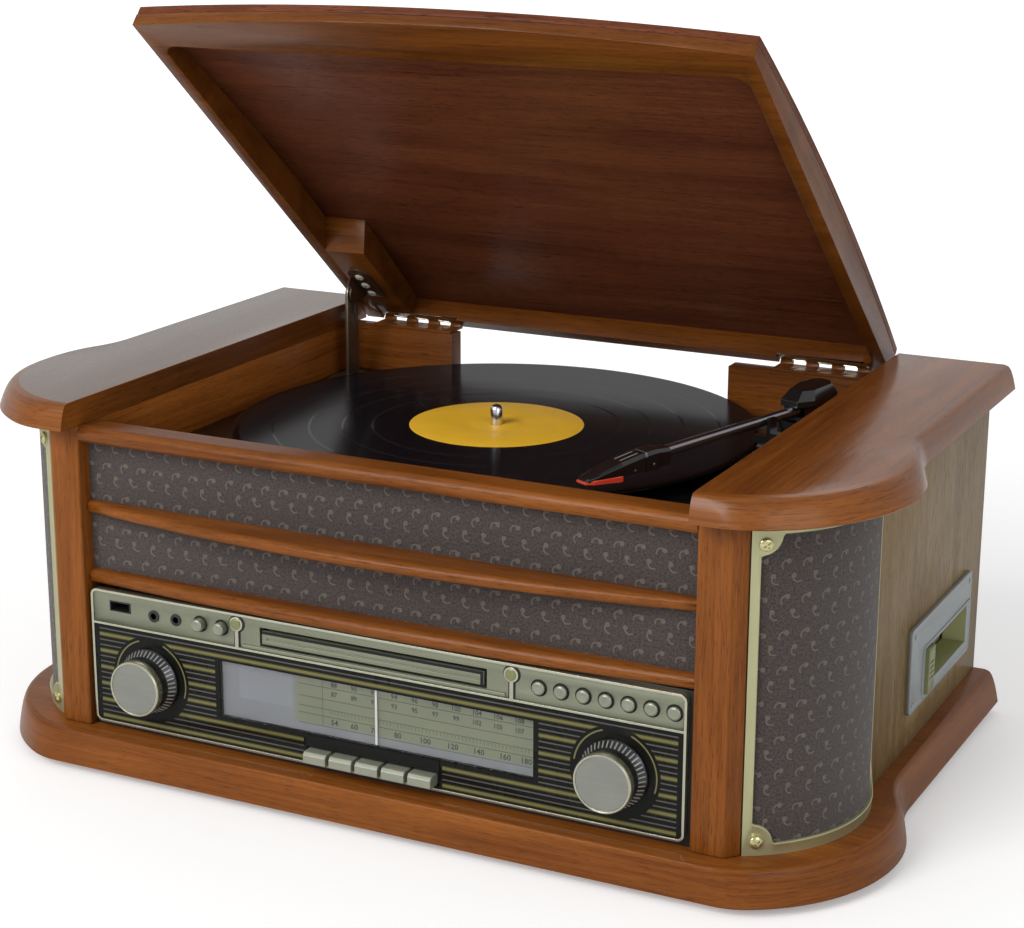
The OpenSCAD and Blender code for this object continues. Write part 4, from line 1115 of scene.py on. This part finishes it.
def trim_plate(name, side, outer, opening):
    """Frame with a raised inner rim, lugs in its two front corners and a curl at the lower rear one."""
    lug, curl = 10.5, 16
    middle = Vector(((opening[0] + opening[2]) / 2, (opening[1] + opening[3]) / 2))
    corners = [Vector((outer[i], outer[k])) - middle for i in (0, 2) for k in (1, 3)]
    turns = [2 * math.pi * k / 360 - math.pi for k in range(360)]
    lugs = [Vector((opening[0], z)) - middle for z in (opening[1], opening[3])]
    bend = Vector((opening[2] - curl, opening[1] + curl)) - middle

    def reach(box, ray):
        """Distance along the ray to the box's side."""
        ways = ((ray.x, middle.x, box[0], box[2]), (ray.y, middle.y, box[1], box[3]))
        far = [((high if way > 0 else low) - at) / way for way, at, low, high in ways if abs(way) > 1e-9]
        return min(far)

    def crossing(centre, ray):
        """How far along the ray the centre lies, and how far off it."""
        return centre.dot(ray), abs(centre.x * ray.y - centre.y * ray.x)

    rings = []
    for angle in sorted(turns + [math.atan2(c.y, c.x) for c in corners]):
        ray = Vector((math.cos(angle), math.sin(angle)))
        inner = reach(opening, ray)
        for lug_c in lugs:
            along, off = crossing(lug_c, ray)
            if along > 0 and off < lug:
                inner = min(inner, along - math.sqrt(lug * lug - off * off))
        hit = ray * inner - bend
        if hit.x > 0 > hit.y and hit.length > curl:
            along, off = crossing(bend, ray)
            inner = along + math.sqrt(max(curl * curl - off * off, 0))
        end = reach(outer, ray)
        rim = min(1.7, (end - inner) * 0.8)
        rows = [(0, -1.9), (0, -0.4), (0.25 * rim, 0), (0.6 * rim, 0), (rim, -0.45)]
        spots = [(inner + d, lift) for d, lift in rows] + [(end, -0.45), (end, -1.9)]
        rings.append([corner_point(*(middle + ray * d), lift, side) for d, lift in spots])
    n, m = len(rings), len(rings[0])
    faces = []
    for k in range(n):
        here, there = k * m, (k + 1) % n * m
        faces += [(here + i, there + i, there + (i + 1) % m, here + (i + 1) % m) for i in range(m)]
    return solid(name, [p for ring in rings for p in ring], faces, 40)


# Front panel


class MUSIC_OT_fascia(bpy.types.Operator):
    """Makes the front panel's plates, sockets and ornaments"""

    bl_idname = "music_centre.fascia"
    bl_label = "Front panel"

    def execute(self, context):
        soft_copy("panel_frame", "fascia_frame", "bright_line", "chrome", 0.25)
        soft_copy("button_strip", "strip_panel", "champagne", "champagne_metal", 0.3)
        soft_copy("striped_panel", "dial_panel", "dial_lacquer", "black_lacquer")
        soft_copy("socket_set", "front_sockets", "black_plastic", "black_plastic", 0.15)
        soft_copy("drawer", "disc_drawer", "champagne", "champagne_metal", 0.3)
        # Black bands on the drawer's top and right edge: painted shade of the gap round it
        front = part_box("disc_drawer")[0].y / MM - 0.12
        bands = [rectangle(-65.6, 97.4, 65.6, 99), rectangle(63.9, 91.8, 65.6, 97.4)]
        shade = joined("drawer_shade", [slab("band", band, front, front + 0.4) for band in bands])
        finish_piece(shade, "gap_black", body_of("disc_drawer"), "black_plastic")
        # Black line across the strip under the drawer: painted shade of a gap
        line = slab("strip_line", rectangle(-66, 90.15, 66.5, 90.5), FACE_Y - 0.08, FACE_Y + 0.1)
        finish_piece(line, "gap_black", "cabinet", "black_plastic")
        make_knob_arcs()
        make_ornaments()
        # A black ring round each button: painted shade of its recess
        rings = [annulus(x, z, 3.6, 4.5, FACE_Y - 0.08) for x, z in BUTTONS]
        finish_piece(joined("button_wells", rings), "gap_black", "cabinet", "black_plastic")
        side = [(FACE_Y, 87.3), (FACE_Y, 90), (FACE_Y - 0.9, 89.4), (FACE_Y - 0.9, 88)]
        ledge = eased(slab("strip_ledge", side, -78, 78, "X"), 0.25)
        finish_piece(ledge, "champagne", "cabinet", "champagne_metal")
        return {"FINISHED"}


def annulus(x, z, r0, r1, y):
    """Flat ring on the front panel, its face at y."""
    section = [(0, r0), (0, r1), (0.3, r1), (0.3, r0), (0, r0)]
    return revolved("ring", section, (x, y, z), (0, 1, 0), 48)


def make_ornaments():
    """Olive discs in bright rings, above the two stems, with painted shadow lines in black."""
    z, dome = 100.4, [(0, 0), (0, 2.9), (0.5, 3), (0.8, 2.6), (0.9, 0)]
    front, back = FACE_Y - 0.1, FACE_Y + 0.1
    for x, name in ((-81.4, "left"), (81.4, "right")):
        disc = revolved(f"ornament_{name}", dome, (x, FACE_Y - 1.3, z), FRONT, 48)
        finish_piece(disc, "olive_plastic", "cabinet", "olive_plastic")
        # Black lines beside each stem and a black ring round each disc: painted shadow lines
        bars = [rectangle(x + d - 0.45, 87.4, x + d + 0.45, 96.5) for d in (-1.6, 1.6)]
        shade = [slab("line", bar, front, back) for bar in bars] + [annulus(x, z, 4, 4.9, front)]
        finish_piece(joined(f"ornament_shade_{name}", shade), "black_plastic", "cabinet", "black_plastic")


def make_knob_arcs():
    """Thin printed arcs round the two knobs."""
    pieces = []
    for x in (-KNOB_X, KNOB_X):
        for a0, a1 in ((108, 172), (68, -18)):
            outer = arc_points((x, KNOB_Z), ARC_R[1], a0, a1, 20)
            inner = arc_points((x, KNOB_Z), ARC_R[0], a1, a0, 20)
            pieces.append(slab("arc", outer + inner, FACE_Y - 0.06, FACE_Y + 0.2))
    finish_piece(joined("knob_arcs", pieces), "arc_print", "cabinet", "gilt_trim")


class MUSIC_OT_dial(bpy.types.Operator):
    """Makes the tuning dial: scale, numbers, pointer and window"""

    bl_idname = "music_centre.dial"
    bl_label = "Dial"

    def execute(self, context):
        soft_copy("scale_plate", "dial_scale", "dial_scale", "dial_print")
        soft_copy("window_pane", "dial_window", "dial_glass", "clear_window", 0.2)
        soft_copy("pointer", "dial_pointer", "pointer_white", "pointer_red")
        make_scale_print()
        return {"FINISHED"}


# Height, size, places and numbers of each printed row
SCALE_ROWS = (
    (74.2, 3.8, range(-24, 90, 12), "88 90 92 94 96 98 100 104 106 108"),
    (69.0, 3.6, range(-24, 90, 12), "87 89 91 93 95 97 99 102 105 107"),
    (53.4, 4.4, (-24, -12, 0, 14, 30, 46, 61, 76, 88), "54 60 70 80 100 120 140 160 180"),
)


def make_scale_print():
    """Printed lines, ticks and plain numbers, just proud of the scale."""
    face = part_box("dial_scale")[0].y / MM
    depth = (face - 0.05, face + 0.1)
    lines = [rectangle(-46, z - 0.12, 92.5, z + 0.12) for z in (72.2, 65.6, 60.2, 56.2, 50.6)]
    pieces = [slab("line", line, *depth) for line in [*lines, rectangle(-31.1, 50.6, -30.9, 76)]]
    tick = slab("tick", rectangle(-0.1, -0.8, 0.1, 0.8), *depth)
    row = {"Count": 56, "Start": (-0.026, 0, 0.0589), "Step": (0.0021, 0, 0)}
    pieces.append(repeated("ticks", "row_of_pieces", tick, "ink", **row))
    for z, size, places, texts in SCALE_ROWS:
        pieces += [number(text, x, z, size, *depth) for x, text in zip(places, texts.split())]
    finish_piece(joined("scale_print", pieces), "ink", "cabinet", "dial_print")


def number(text, x, z, size, front, back):
    """A number as a thin mesh that faces the front, centred on x and z."""
    data = bpy.data.curves.new("number", "FONT")
    data.body = text
    data.size = size * MM
    data.align_x = data.align_y = "CENTER"
    data.extrude = (back - front) * MM / 2
    data.offset = 0.05 * MM
    data.resolution_u = 2
    obj = add_object("number", data)
    mesh = evaluated(obj)
    bpy.data.objects.remove(obj)
    mesh.transform(at_mm((x, (front + back) / 2, z)) @ Matrix.Rotation(math.pi / 2, 4, "X"))
    return add_object("number", mesh)


# Distance from the panel and radius down each knob's body, cap and rim
KNOB_BODY = (
    (-13, 0), (-13, 3), (0, 3), (0, 18.2), (1.6, 18.2), (2, 17.9), (5.6, 15.2), (6.2, 14.9),
    (11.2, 14.7), (11.2, 0),
)
KNOB_CAP = ((14.9, 0), (14.9, 14.3), (15.35, 14.1), (15.35, 0))
KNOB_RIM = (
    (11.3, 14), (11.3, 15.6), (14.6, 15.75), (15.3, 15.6), (15.8, 15.2), (15.9, 14.8), (15.7, 14.3),
    (15, 14), (11.3, 14),
)


class MUSIC_OT_knobs(bpy.types.Operator):
    """Makes the two knobs with their ribbed skirts and metal caps"""

    bl_idname = "music_centre.knobs"
    bl_label = "Knobs"

    def execute(self, context):
        for name, x in (("volume_knob", -KNOB_X), ("tuning_knob", KNOB_X)):
            centre = (x, FACE_Y - 0.5, KNOB_Z)
            body = revolved(name + "_body", KNOB_BODY, centre, FRONT)
            finish_piece(body, "arm_gloss", name, "knob_metal", name)
            finish_piece(revolved(name + "_cap", KNOB_CAP, centre, FRONT), "knob_face", name, "knob_metal")
            finish_piece(revolved(name + "_rim", KNOB_RIM, centre, FRONT), "bright_line", name, "knob_metal")
            # The ribs are pale: painted highlights on the black skirt
            section = ((-0.42, -0.5, -0.4), (0.42, -0.5, -0.4), (0.34, 0.25, 0.2), (-0.34, 0.25, 0.2))
            ends = ((2.3, -0.6), (5.5, -2.95))
            rib = lofted("rib", [[(x, y + back, z + up) for x, y, up in section] for z, back in ends])
            rib.data.transform(Matrix.Rotation(-math.pi / 2, 4, "Z"))
            place = at_mm(centre) @ Matrix.Rotation(math.pi / 2, 4, "X")
            ring = {"Count": 44, "Radius": 18.2 * MM}
            ribs = repeated(name + "_ribs", "ring_of_pieces", rib, "rib_gloss", place, **ring)
            finish_piece(ribs, "rib_gloss", name, "knob_metal")
        return {"FINISHED"}


class MUSIC_OT_buttons(bpy.types.Operator):
    """Makes the selector keys and the round push buttons"""

    bl_idname = "music_centre.buttons"
    bl_label = "Keys and buttons"

    def execute(self, context):
        for name in (f"key_{i}" for i in range(1, 6)):
            (x0, y0, z0), (x1, y1, z1) = (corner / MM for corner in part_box(name))
            side = [(y1, z0), (y0 + 0.5, z0), (y0, z0 + 0.5), (y0, z1 - 1.7), (y0 + 1.5, z1 - 0.1)]
            side += [(y0 + 2.4, z1), (y1, z1)]
            cap = slab(name.replace("_", "_cap_"), side, x0 + 0.3, x1 - 0.3, "X")
            finish_piece(eased(cap, 0.35, 20), "key_silver", body_of(name), "silver_plastic", name)
        for i in range(1, 10):
            soft_copy(f"button_cap_{i}", f"button_{i}", "button_cap", "button_metal")
        return {"FINISHED"}


# Turntable


class MUSIC_OT_deck(bpy.types.Operator):
    """Makes the deck with its spindle, switch and lever"""

    bl_idname = "music_centre.deck"
    bl_label = "Deck"

    def execute(self, context):
        deck = soft_copy("deck", "deck_plate", "deck_satin", "black_plastic")
        # The arm rest goes outboard, to stand under the tube
        rest = Vector(arm_point(0, REST_T, DECK_TOP))
        shift = Vector(arm_point(-9, REST_T, DECK_TOP)) - rest
        for vertex in deck.data.vertices:
            spot = vertex.co / MM
            if spot.z > DECK_TOP - 0.1 and (spot - rest).xy.length < 22:
                vertex.co += shift * MM
        soft_copy("spindle_pin", "spindle", "spindle_steel", "steel")
        soft_copy("speed_slide_cap", "speed_switch", "key_silver", "silver_plastic", 0.3)
        soft_copy("cue_handle", "cue_lever", "arm_gloss", "arm_black", 0.3)
        soft_copy("guide_plate", "stay_guide", "stay_nickel", "nickel", 0.2)
        return {"FINISHED"}


# Radius and height of the record's section, from its base up and from its top down
RECORD_BASE = ((3.6, 0.1), (52, 0.1), (53, 0), (150, 0), (150.5, 0.35), (150.7, 0.75), (150.5, 1.15))
RECORD_TOP = ((149.8, 0.02), (148, 0.1), (146.5, 0.16), (58, 0.16), (52, 0.2), (3.6, 0.2))
LABEL_TOP = (
    (3.6, 0.25), (3.6, 0.05), (3.9, 0), (15.2, 0), (15.5, 0.05), (16.3, 0.05), (16.6, 0), (49.6, 0),
    (50, 0.1), (50, 0.25), (3.6, 0.25),
)


class MUSIC_OT_record(bpy.types.Operator):
    """Makes the platter and the record with its paper label"""

    bl_idname = "music_centre.record"
    bl_label = "Record"

    def execute(self, context):
        soft_copy("platter_dish", "platter", "deck_satin", "platter_black", 0.3)
        base, top = (corner.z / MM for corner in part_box("record_disc"))
        lower = [(base + rise, r) for r, rise in RECORD_BASE]
        section = lower + [(top - drop, r) for r, drop in RECORD_TOP] + lower[:1]
        centre = (*RECORD_C, 0)
        disc = revolved("record", section, centre, UP, 192)
        finish_piece(disc, "vinyl", "turntable", "vinyl", "record_disc")
        label = revolved("record_label", [(top - drop, r) for r, drop in LABEL_TOP], centre, UP, 160)
        finish_piece(label, "label_paper", "turntable", "vinyl")
        return {"FINISHED"}


# Place along the headshell, half width, lower and upper height of its sections and of the guard's
SHELL = (
    (-5, 4.9, 190, 199), (2.4, 5.3, 189.6, 199.2), (3, 6.1, 188.8, 199.7), (11, 6.4, 188.6, 199),
    (11.4, 5.8, 189.2, 198.2), (12.4, 5.8, 189.2, 198.1), (12.8, 6.4, 188.6, 198.7), (27, 6.3, 188.4, 195.8),
    (40, 5.6, 188, 192), (46.5, 4.8, 187.7, 189.9), (48.8, 3.4, 187.5, 188.6),
)
GUARD = (
    (26.5, 6.4, 186.2, 189.8), (27.4, 6.7, 185.8, 190), (44, 5.6, 186.5, 189.5), (48.9, 3.8, 186.9, 188.4),
)


class MUSIC_OT_tonearm(bpy.types.Operator):
    """Makes the tonearm with its yoke, tube and headshell"""

    bl_idname = "music_centre.tonearm"
    bl_label = "Tonearm"

    def execute(self, context):
        make_yoke()
        body = body_of("arm_tube")
        start, end = (Vector(arm_point(*spot, TUBE_Z)) for spot in (TUBE_START, TUBE_END))
        run = (end - start).length
        tube = revolved("tube", [(0, 0), (0, 2.7), (0.3, 3), (run, 3), (run, 0)], start, end - start, 48)
        finish_piece(tube, "arm_bar", body, "arm_black", "arm_tube")
        shell = eased(lofted("shell", [shell_ring(*row) for row in SHELL]), 0.3, 20)
        finish_piece(shell, "arm_gloss", body, "arm_black", "headshell")
        guard = eased(lofted("guard", [shell_ring(*row) for row in GUARD]), 0.25)
        finish_piece(guard, "stylus_red", body, "stylus_red", "stylus")
        section, ends = ((-0.25, -0.3), (0.25, -0.3), (0.25, 0.2), (-0.25, 0.2)), ((15, 198.2), (26, 196))
        ribs = []
        for x in (-2.2, 2.2):
            rings = [[shell_point(t, x + across, z + up) for across, up in section] for t, z in ends]
            ribs.append(lofted("rib", rings))
        finish_piece(joined("shell_lines", ribs), "line_print", body, "arm_black")
        needle = [(0, 0), (0, 0.2), (1.4, 0.8), (1.4, 0)]
        needle = revolved("needle", needle, shell_point(42, 0, 186.35), UP, 24)
        finish_piece(needle, "spindle_steel", body, "stylus_red")
        side = Vector(arm_point(-1, 0, 0)) - Vector(arm_point(0, 0, 0))
        dot = [(-0.4, 0), (-0.4, 0.8), (0.2, 0.8), (0.4, 0.4), (0.45, 0)]
        dots = [revolved("dot", dot, shell_point(t, -6.2, z), side, 20) for t, z in ((7, 192), (19, 190.5))]
        finish_piece(joined("shell_dots", dots), "spindle_steel", body, "arm_black")
        return {"FINISHED"}


def arm_point(x, y, z):
    """Place of a point by its distance inboard of the parked arm's axis, along it, and up."""
    c, s = math.cos(ARM_PARK), math.sin(ARM_PARK)
    return (ARM_C.x - x * c - y * s, ARM_C.y + x * s - y * c, z)


def shell_point(t, x, z):
    """Place of a point by its distance along the headshell, inboard of its middle, and up."""
    way = (Vector(SHELL_TIP) - Vector(TUBE_END)).normalized()
    spot = Vector(TUBE_END) + way * t + Vector((way.y, -way.x)) * x
    return arm_point(spot.x, spot.y, z)


def shell_ring(t, half, low, top):
    """Cross-section of the headshell with its upper corners cut off."""
    corner, flat = top - min(1.8, (top - low) * 0.3), half * 0.7
    outline = [(-half, low), (half, low), (half, corner), (flat, top), (-flat, top), (-half, corner)]
    return [shell_point(t, x, z) for x, z in outline]


# Plan of the tonearm's hood, and of the two cheeks and the bridge of its fork
HOOD = ((-13, 28), (-1, 27.5), (6, 8), (6, -9), (2, -16), (-6.5, -15.6), (-14, -8), (-17.5, 18))
FORK = (
    ((-3.6, -11), (5, -10), (5, 16), (-3.6, 21)),
    ((-15.5, -9), (-12.4, -11), (-12.4, 21), (-15.5, 17)),
    ((-13, -11), (-3, -11), (-3, 6), (-13, 6)),
)


def make_yoke():
    """Turned base, fork and angular hood of the tonearm."""
    body = body_of("arm_yoke")
    rings = []
    for z, size in ((207.3, 0.68), (206.9, 0.74), (202.6, 0.96), (201.8, 1), (198.4, 1), (198, 0.96)):
        rings.append([arm_point(-6 + (x + 6) * size, 3 + (y - 3) * size, z) for x, y in HOOD])
    hood = eased(lofted("yoke_hood", rings), 0.4, 20)
    finish_piece(hood, "arm_gloss", body, "arm_black", "arm_yoke")
    turned = [(186.4, 0), (186.4, 13.4), (187, 14), (189, 14), (189.6, 13.4), (189.6, 0)]
    finish_piece(revolved("yoke_base", turned, (*ARM_C, 0), UP, 64), "arm_gloss", body, "arm_black")
    blocks = [lofted("block", [[arm_point(*p, z) for p in plan] for z in (189.5, 198.2)]) for plan in FORK]
    finish_piece(eased(joined("yoke_fork", blocks), 0.3), "arm_gloss", body, "arm_black")


# Lid


class MUSIC_OT_lid(bpy.types.Operator):
    """Makes the lid with its rim, stay and hinges"""

    bl_idname = "music_centre.lid"
    bl_label = "Lid"

    def execute(self, context):
        soft_copy("lid_panel", "lid_board", "panel_lid", "stained_wood", 0.9)
        soft_copy("lid_frame", "lid_rim", "stain_rim", "stained_wood", 0.8)
        soft_copy("stay_mount", "stay_block", "stain_rim", "stained_wood", 1.0)
        make_bracket()
        make_hinges()
        soft_copy("stay_bar", "lid_stay", "stay_nickel", "nickel", 0.3)
        return {"FINISHED"}


def make_bracket():
    """The stay's bracket, with a domed screw over each of its three round heads."""
    bracket = soft_copy("bracket", "stay_bracket", "hinge_bronze", "brassy_nickel")
    faces = bracket.data.polygons
    way = Vector(max(faces, key=lambda face: face.area).normal)
    if way.z > 0:
        way.negate()
    heads = [face for face in faces if face.normal.dot(way) > 0.99 and 14 < face.area / MM**2 < 16]
    if len(heads) != 3:
        raise RuntimeError(f"expected three screws on the bracket, found {len(heads)}")
    screws = [screw(face.center / MM - way, way, 2.9) for face in heads]
    finish_piece(joined("bracket_screws", screws), "screw_pale", body_of("stay_bracket"), "brassy_nickel")


def make_hinges():
    """Both leaves of the hinges, their knuckles drawn in towards the pin."""
    # The lower leaves take the rear board's darker copy of the stain: painted shade
    for name, node, material in (
        ("hinges_lower", "cabinet_hinge_leaves", "stain_rear"),
        ("hinges_upper", "lid_hinge_leaves", "hinge_bright"),
    ):
        leaves = soft_copy(name, node, material, "brassy_nickel", 0.15)
        for vertex in leaves.data.vertices:
            away = vertex.co / MM - Vector((0, *HINGE_AXIS))
            away.x = 0
            if away.length < 2.9:
                vertex.co -= away * 0.42 * MM


# Cassette bay and rear


class MUSIC_OT_cassette(bpy.types.Operator):
    """Makes the cassette bay's plate, flap and key"""

    bl_idname = "music_centre.cassette"
    bl_label = "Cassette bay"

    def execute(self, context):
        soft_copy("bay_plate", "cassette_plate", "bay_silver", "champagne_metal", 0.35)
        soft_copy("bay_flap", "cassette_flap", "flap_grey", "olive_plastic", 0.25)
        soft_copy("eject_bar", "eject_key", "olive_plastic", "olive_plastic", 0.5)
        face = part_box("cassette_plate")[1].x / MM
        areas = (rectangle(52, 49.4, 128, 54), rectangle(121.5, 54, 128, 76.6))
        fills = [slab("fill", area, face - 3, face - 0.1, "X") for area in areas]
        finish_piece(eased(joined("bay_fill", fills), 0.3), "bay_silver", "cabinet", "champagne_metal")
        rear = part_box("cassette_flap")[1].x / MM + 0.9
        right = [(face - 0.3, 121.6), (rear, 121.6), (rear, 113), (rear + 0.7, 113)]
        below = [(face - 0.3, 53.9), (rear, 53.9), (rear, 57), (rear + 0.7, 57)]
        left = [(face + 0.5, 52.2), (face + 0.5, 53.4), (rear, 55.5), (rear, 52.2)]
        lips = ((right, 54, 76.5, "Z"), (below, 52.3, 121.5, "Y"), (left, 54, 76.5, "Z"))
        lips = eased(joined("bay_lips", [slab("lip", *lip) for lip in lips]), 0.3)
        finish_piece(lips, "lip_olive", "cabinet", "olive_plastic")
        return {"FINISHED"}


class MUSIC_OT_rear(bpy.types.Operator):
    """Finishes the rear sockets and the inner pieces"""

    bl_idname = "music_centre.rear"
    bl_label = "Rear and inside"

    def execute(self, context):
        soft_copy("socket_plate", "rear_sockets", "black_plastic", "black_plastic", 0.3)
        # These keep the CAD node's own mesh and only get a new finish
        for node in ("speaker_drivers", "fascia_chassis", "disc_loader"):
            slots = frame["nodes"][node].material_slots
            if not slots:
                raise RuntimeError(f"{node} has no material slot")
            for slot in slots:
                slot.material = finish("black_plastic")
        return {"FINISHED"}


class MUSIC_OT_materials(bpy.types.Operator):
    """Builds the shader groups, the materials and the repeat trees"""

    bl_idname = "music_centre.materials"
    bl_label = "Materials"

    def execute(self, context):
        for build in (
            make_grain_group, make_cloth_group, make_wear_group, make_wood_materials, make_cloth_material,
            make_dial_panel_material, make_scale_material, make_glass_material, make_vinyl_material,
            make_ring_tree, make_row_tree,
        ):
            build()
        for row in PLAIN:
            plain_material(*row)
        for row in BRUSHED:
            brushed_material(*row)
        return {"FINISHED"}


OPERATORS = (
    MUSIC_OT_materials,
    MUSIC_OT_stage,
    MUSIC_OT_base,
    MUSIC_OT_carcass,
    MUSIC_OT_cloth,
    MUSIC_OT_trims,
    MUSIC_OT_fascia,
    MUSIC_OT_dial,
    MUSIC_OT_knobs,
    MUSIC_OT_buttons,
    MUSIC_OT_deck,
    MUSIC_OT_record,
    MUSIC_OT_tonearm,
    MUSIC_OT_lid,
    MUSIC_OT_cassette,
    MUSIC_OT_rear,
)


class MUSIC_PT_panel(bpy.types.Panel):
    """Lists the pieces and their settings"""

    bl_idname = "MUSIC_PT_panel"
    bl_label = "Music Centre"
    bl_space_type = "VIEW_3D"
    bl_region_type = "UI"
    bl_category = "Music Centre"

    def draw(self, context):
        layout = self.layout
        for group_name in MusicCentreSettings.__annotations__:
            box = layout.box()
            box.label(text=group_name.capitalize())
            group = getattr(context.scene.music_centre, group_name)
            for name in type(group).__annotations__:
                box.prop(group, name)
        for operator in OPERATORS:
            layout.operator(operator.bl_idname)


CLASSES = (
    WoodSettings,
    ClothSettings,
    MetalSettings,
    RecordSettings,
    StageSettings,
    MusicCentreSettings,
    *OPERATORS,
    MUSIC_PT_panel,
)


def register():
    for cls in CLASSES:
        bpy.utils.register_class(cls)
    bpy.types.Scene.music_centre = bpy.props.PointerProperty(type=MusicCentreSettings)


def unregister():
    del bpy.types.Scene.music_centre
    for cls in reversed(CLASSES):
        bpy.utils.unregister_class(cls)


def main():
    """Builds every piece."""
    register()
    for operator in OPERATORS:
        module, name = operator.bl_idname.split(".")
        getattr(getattr(bpy.ops, module), name)()


if __name__ == "__main__":
    main()
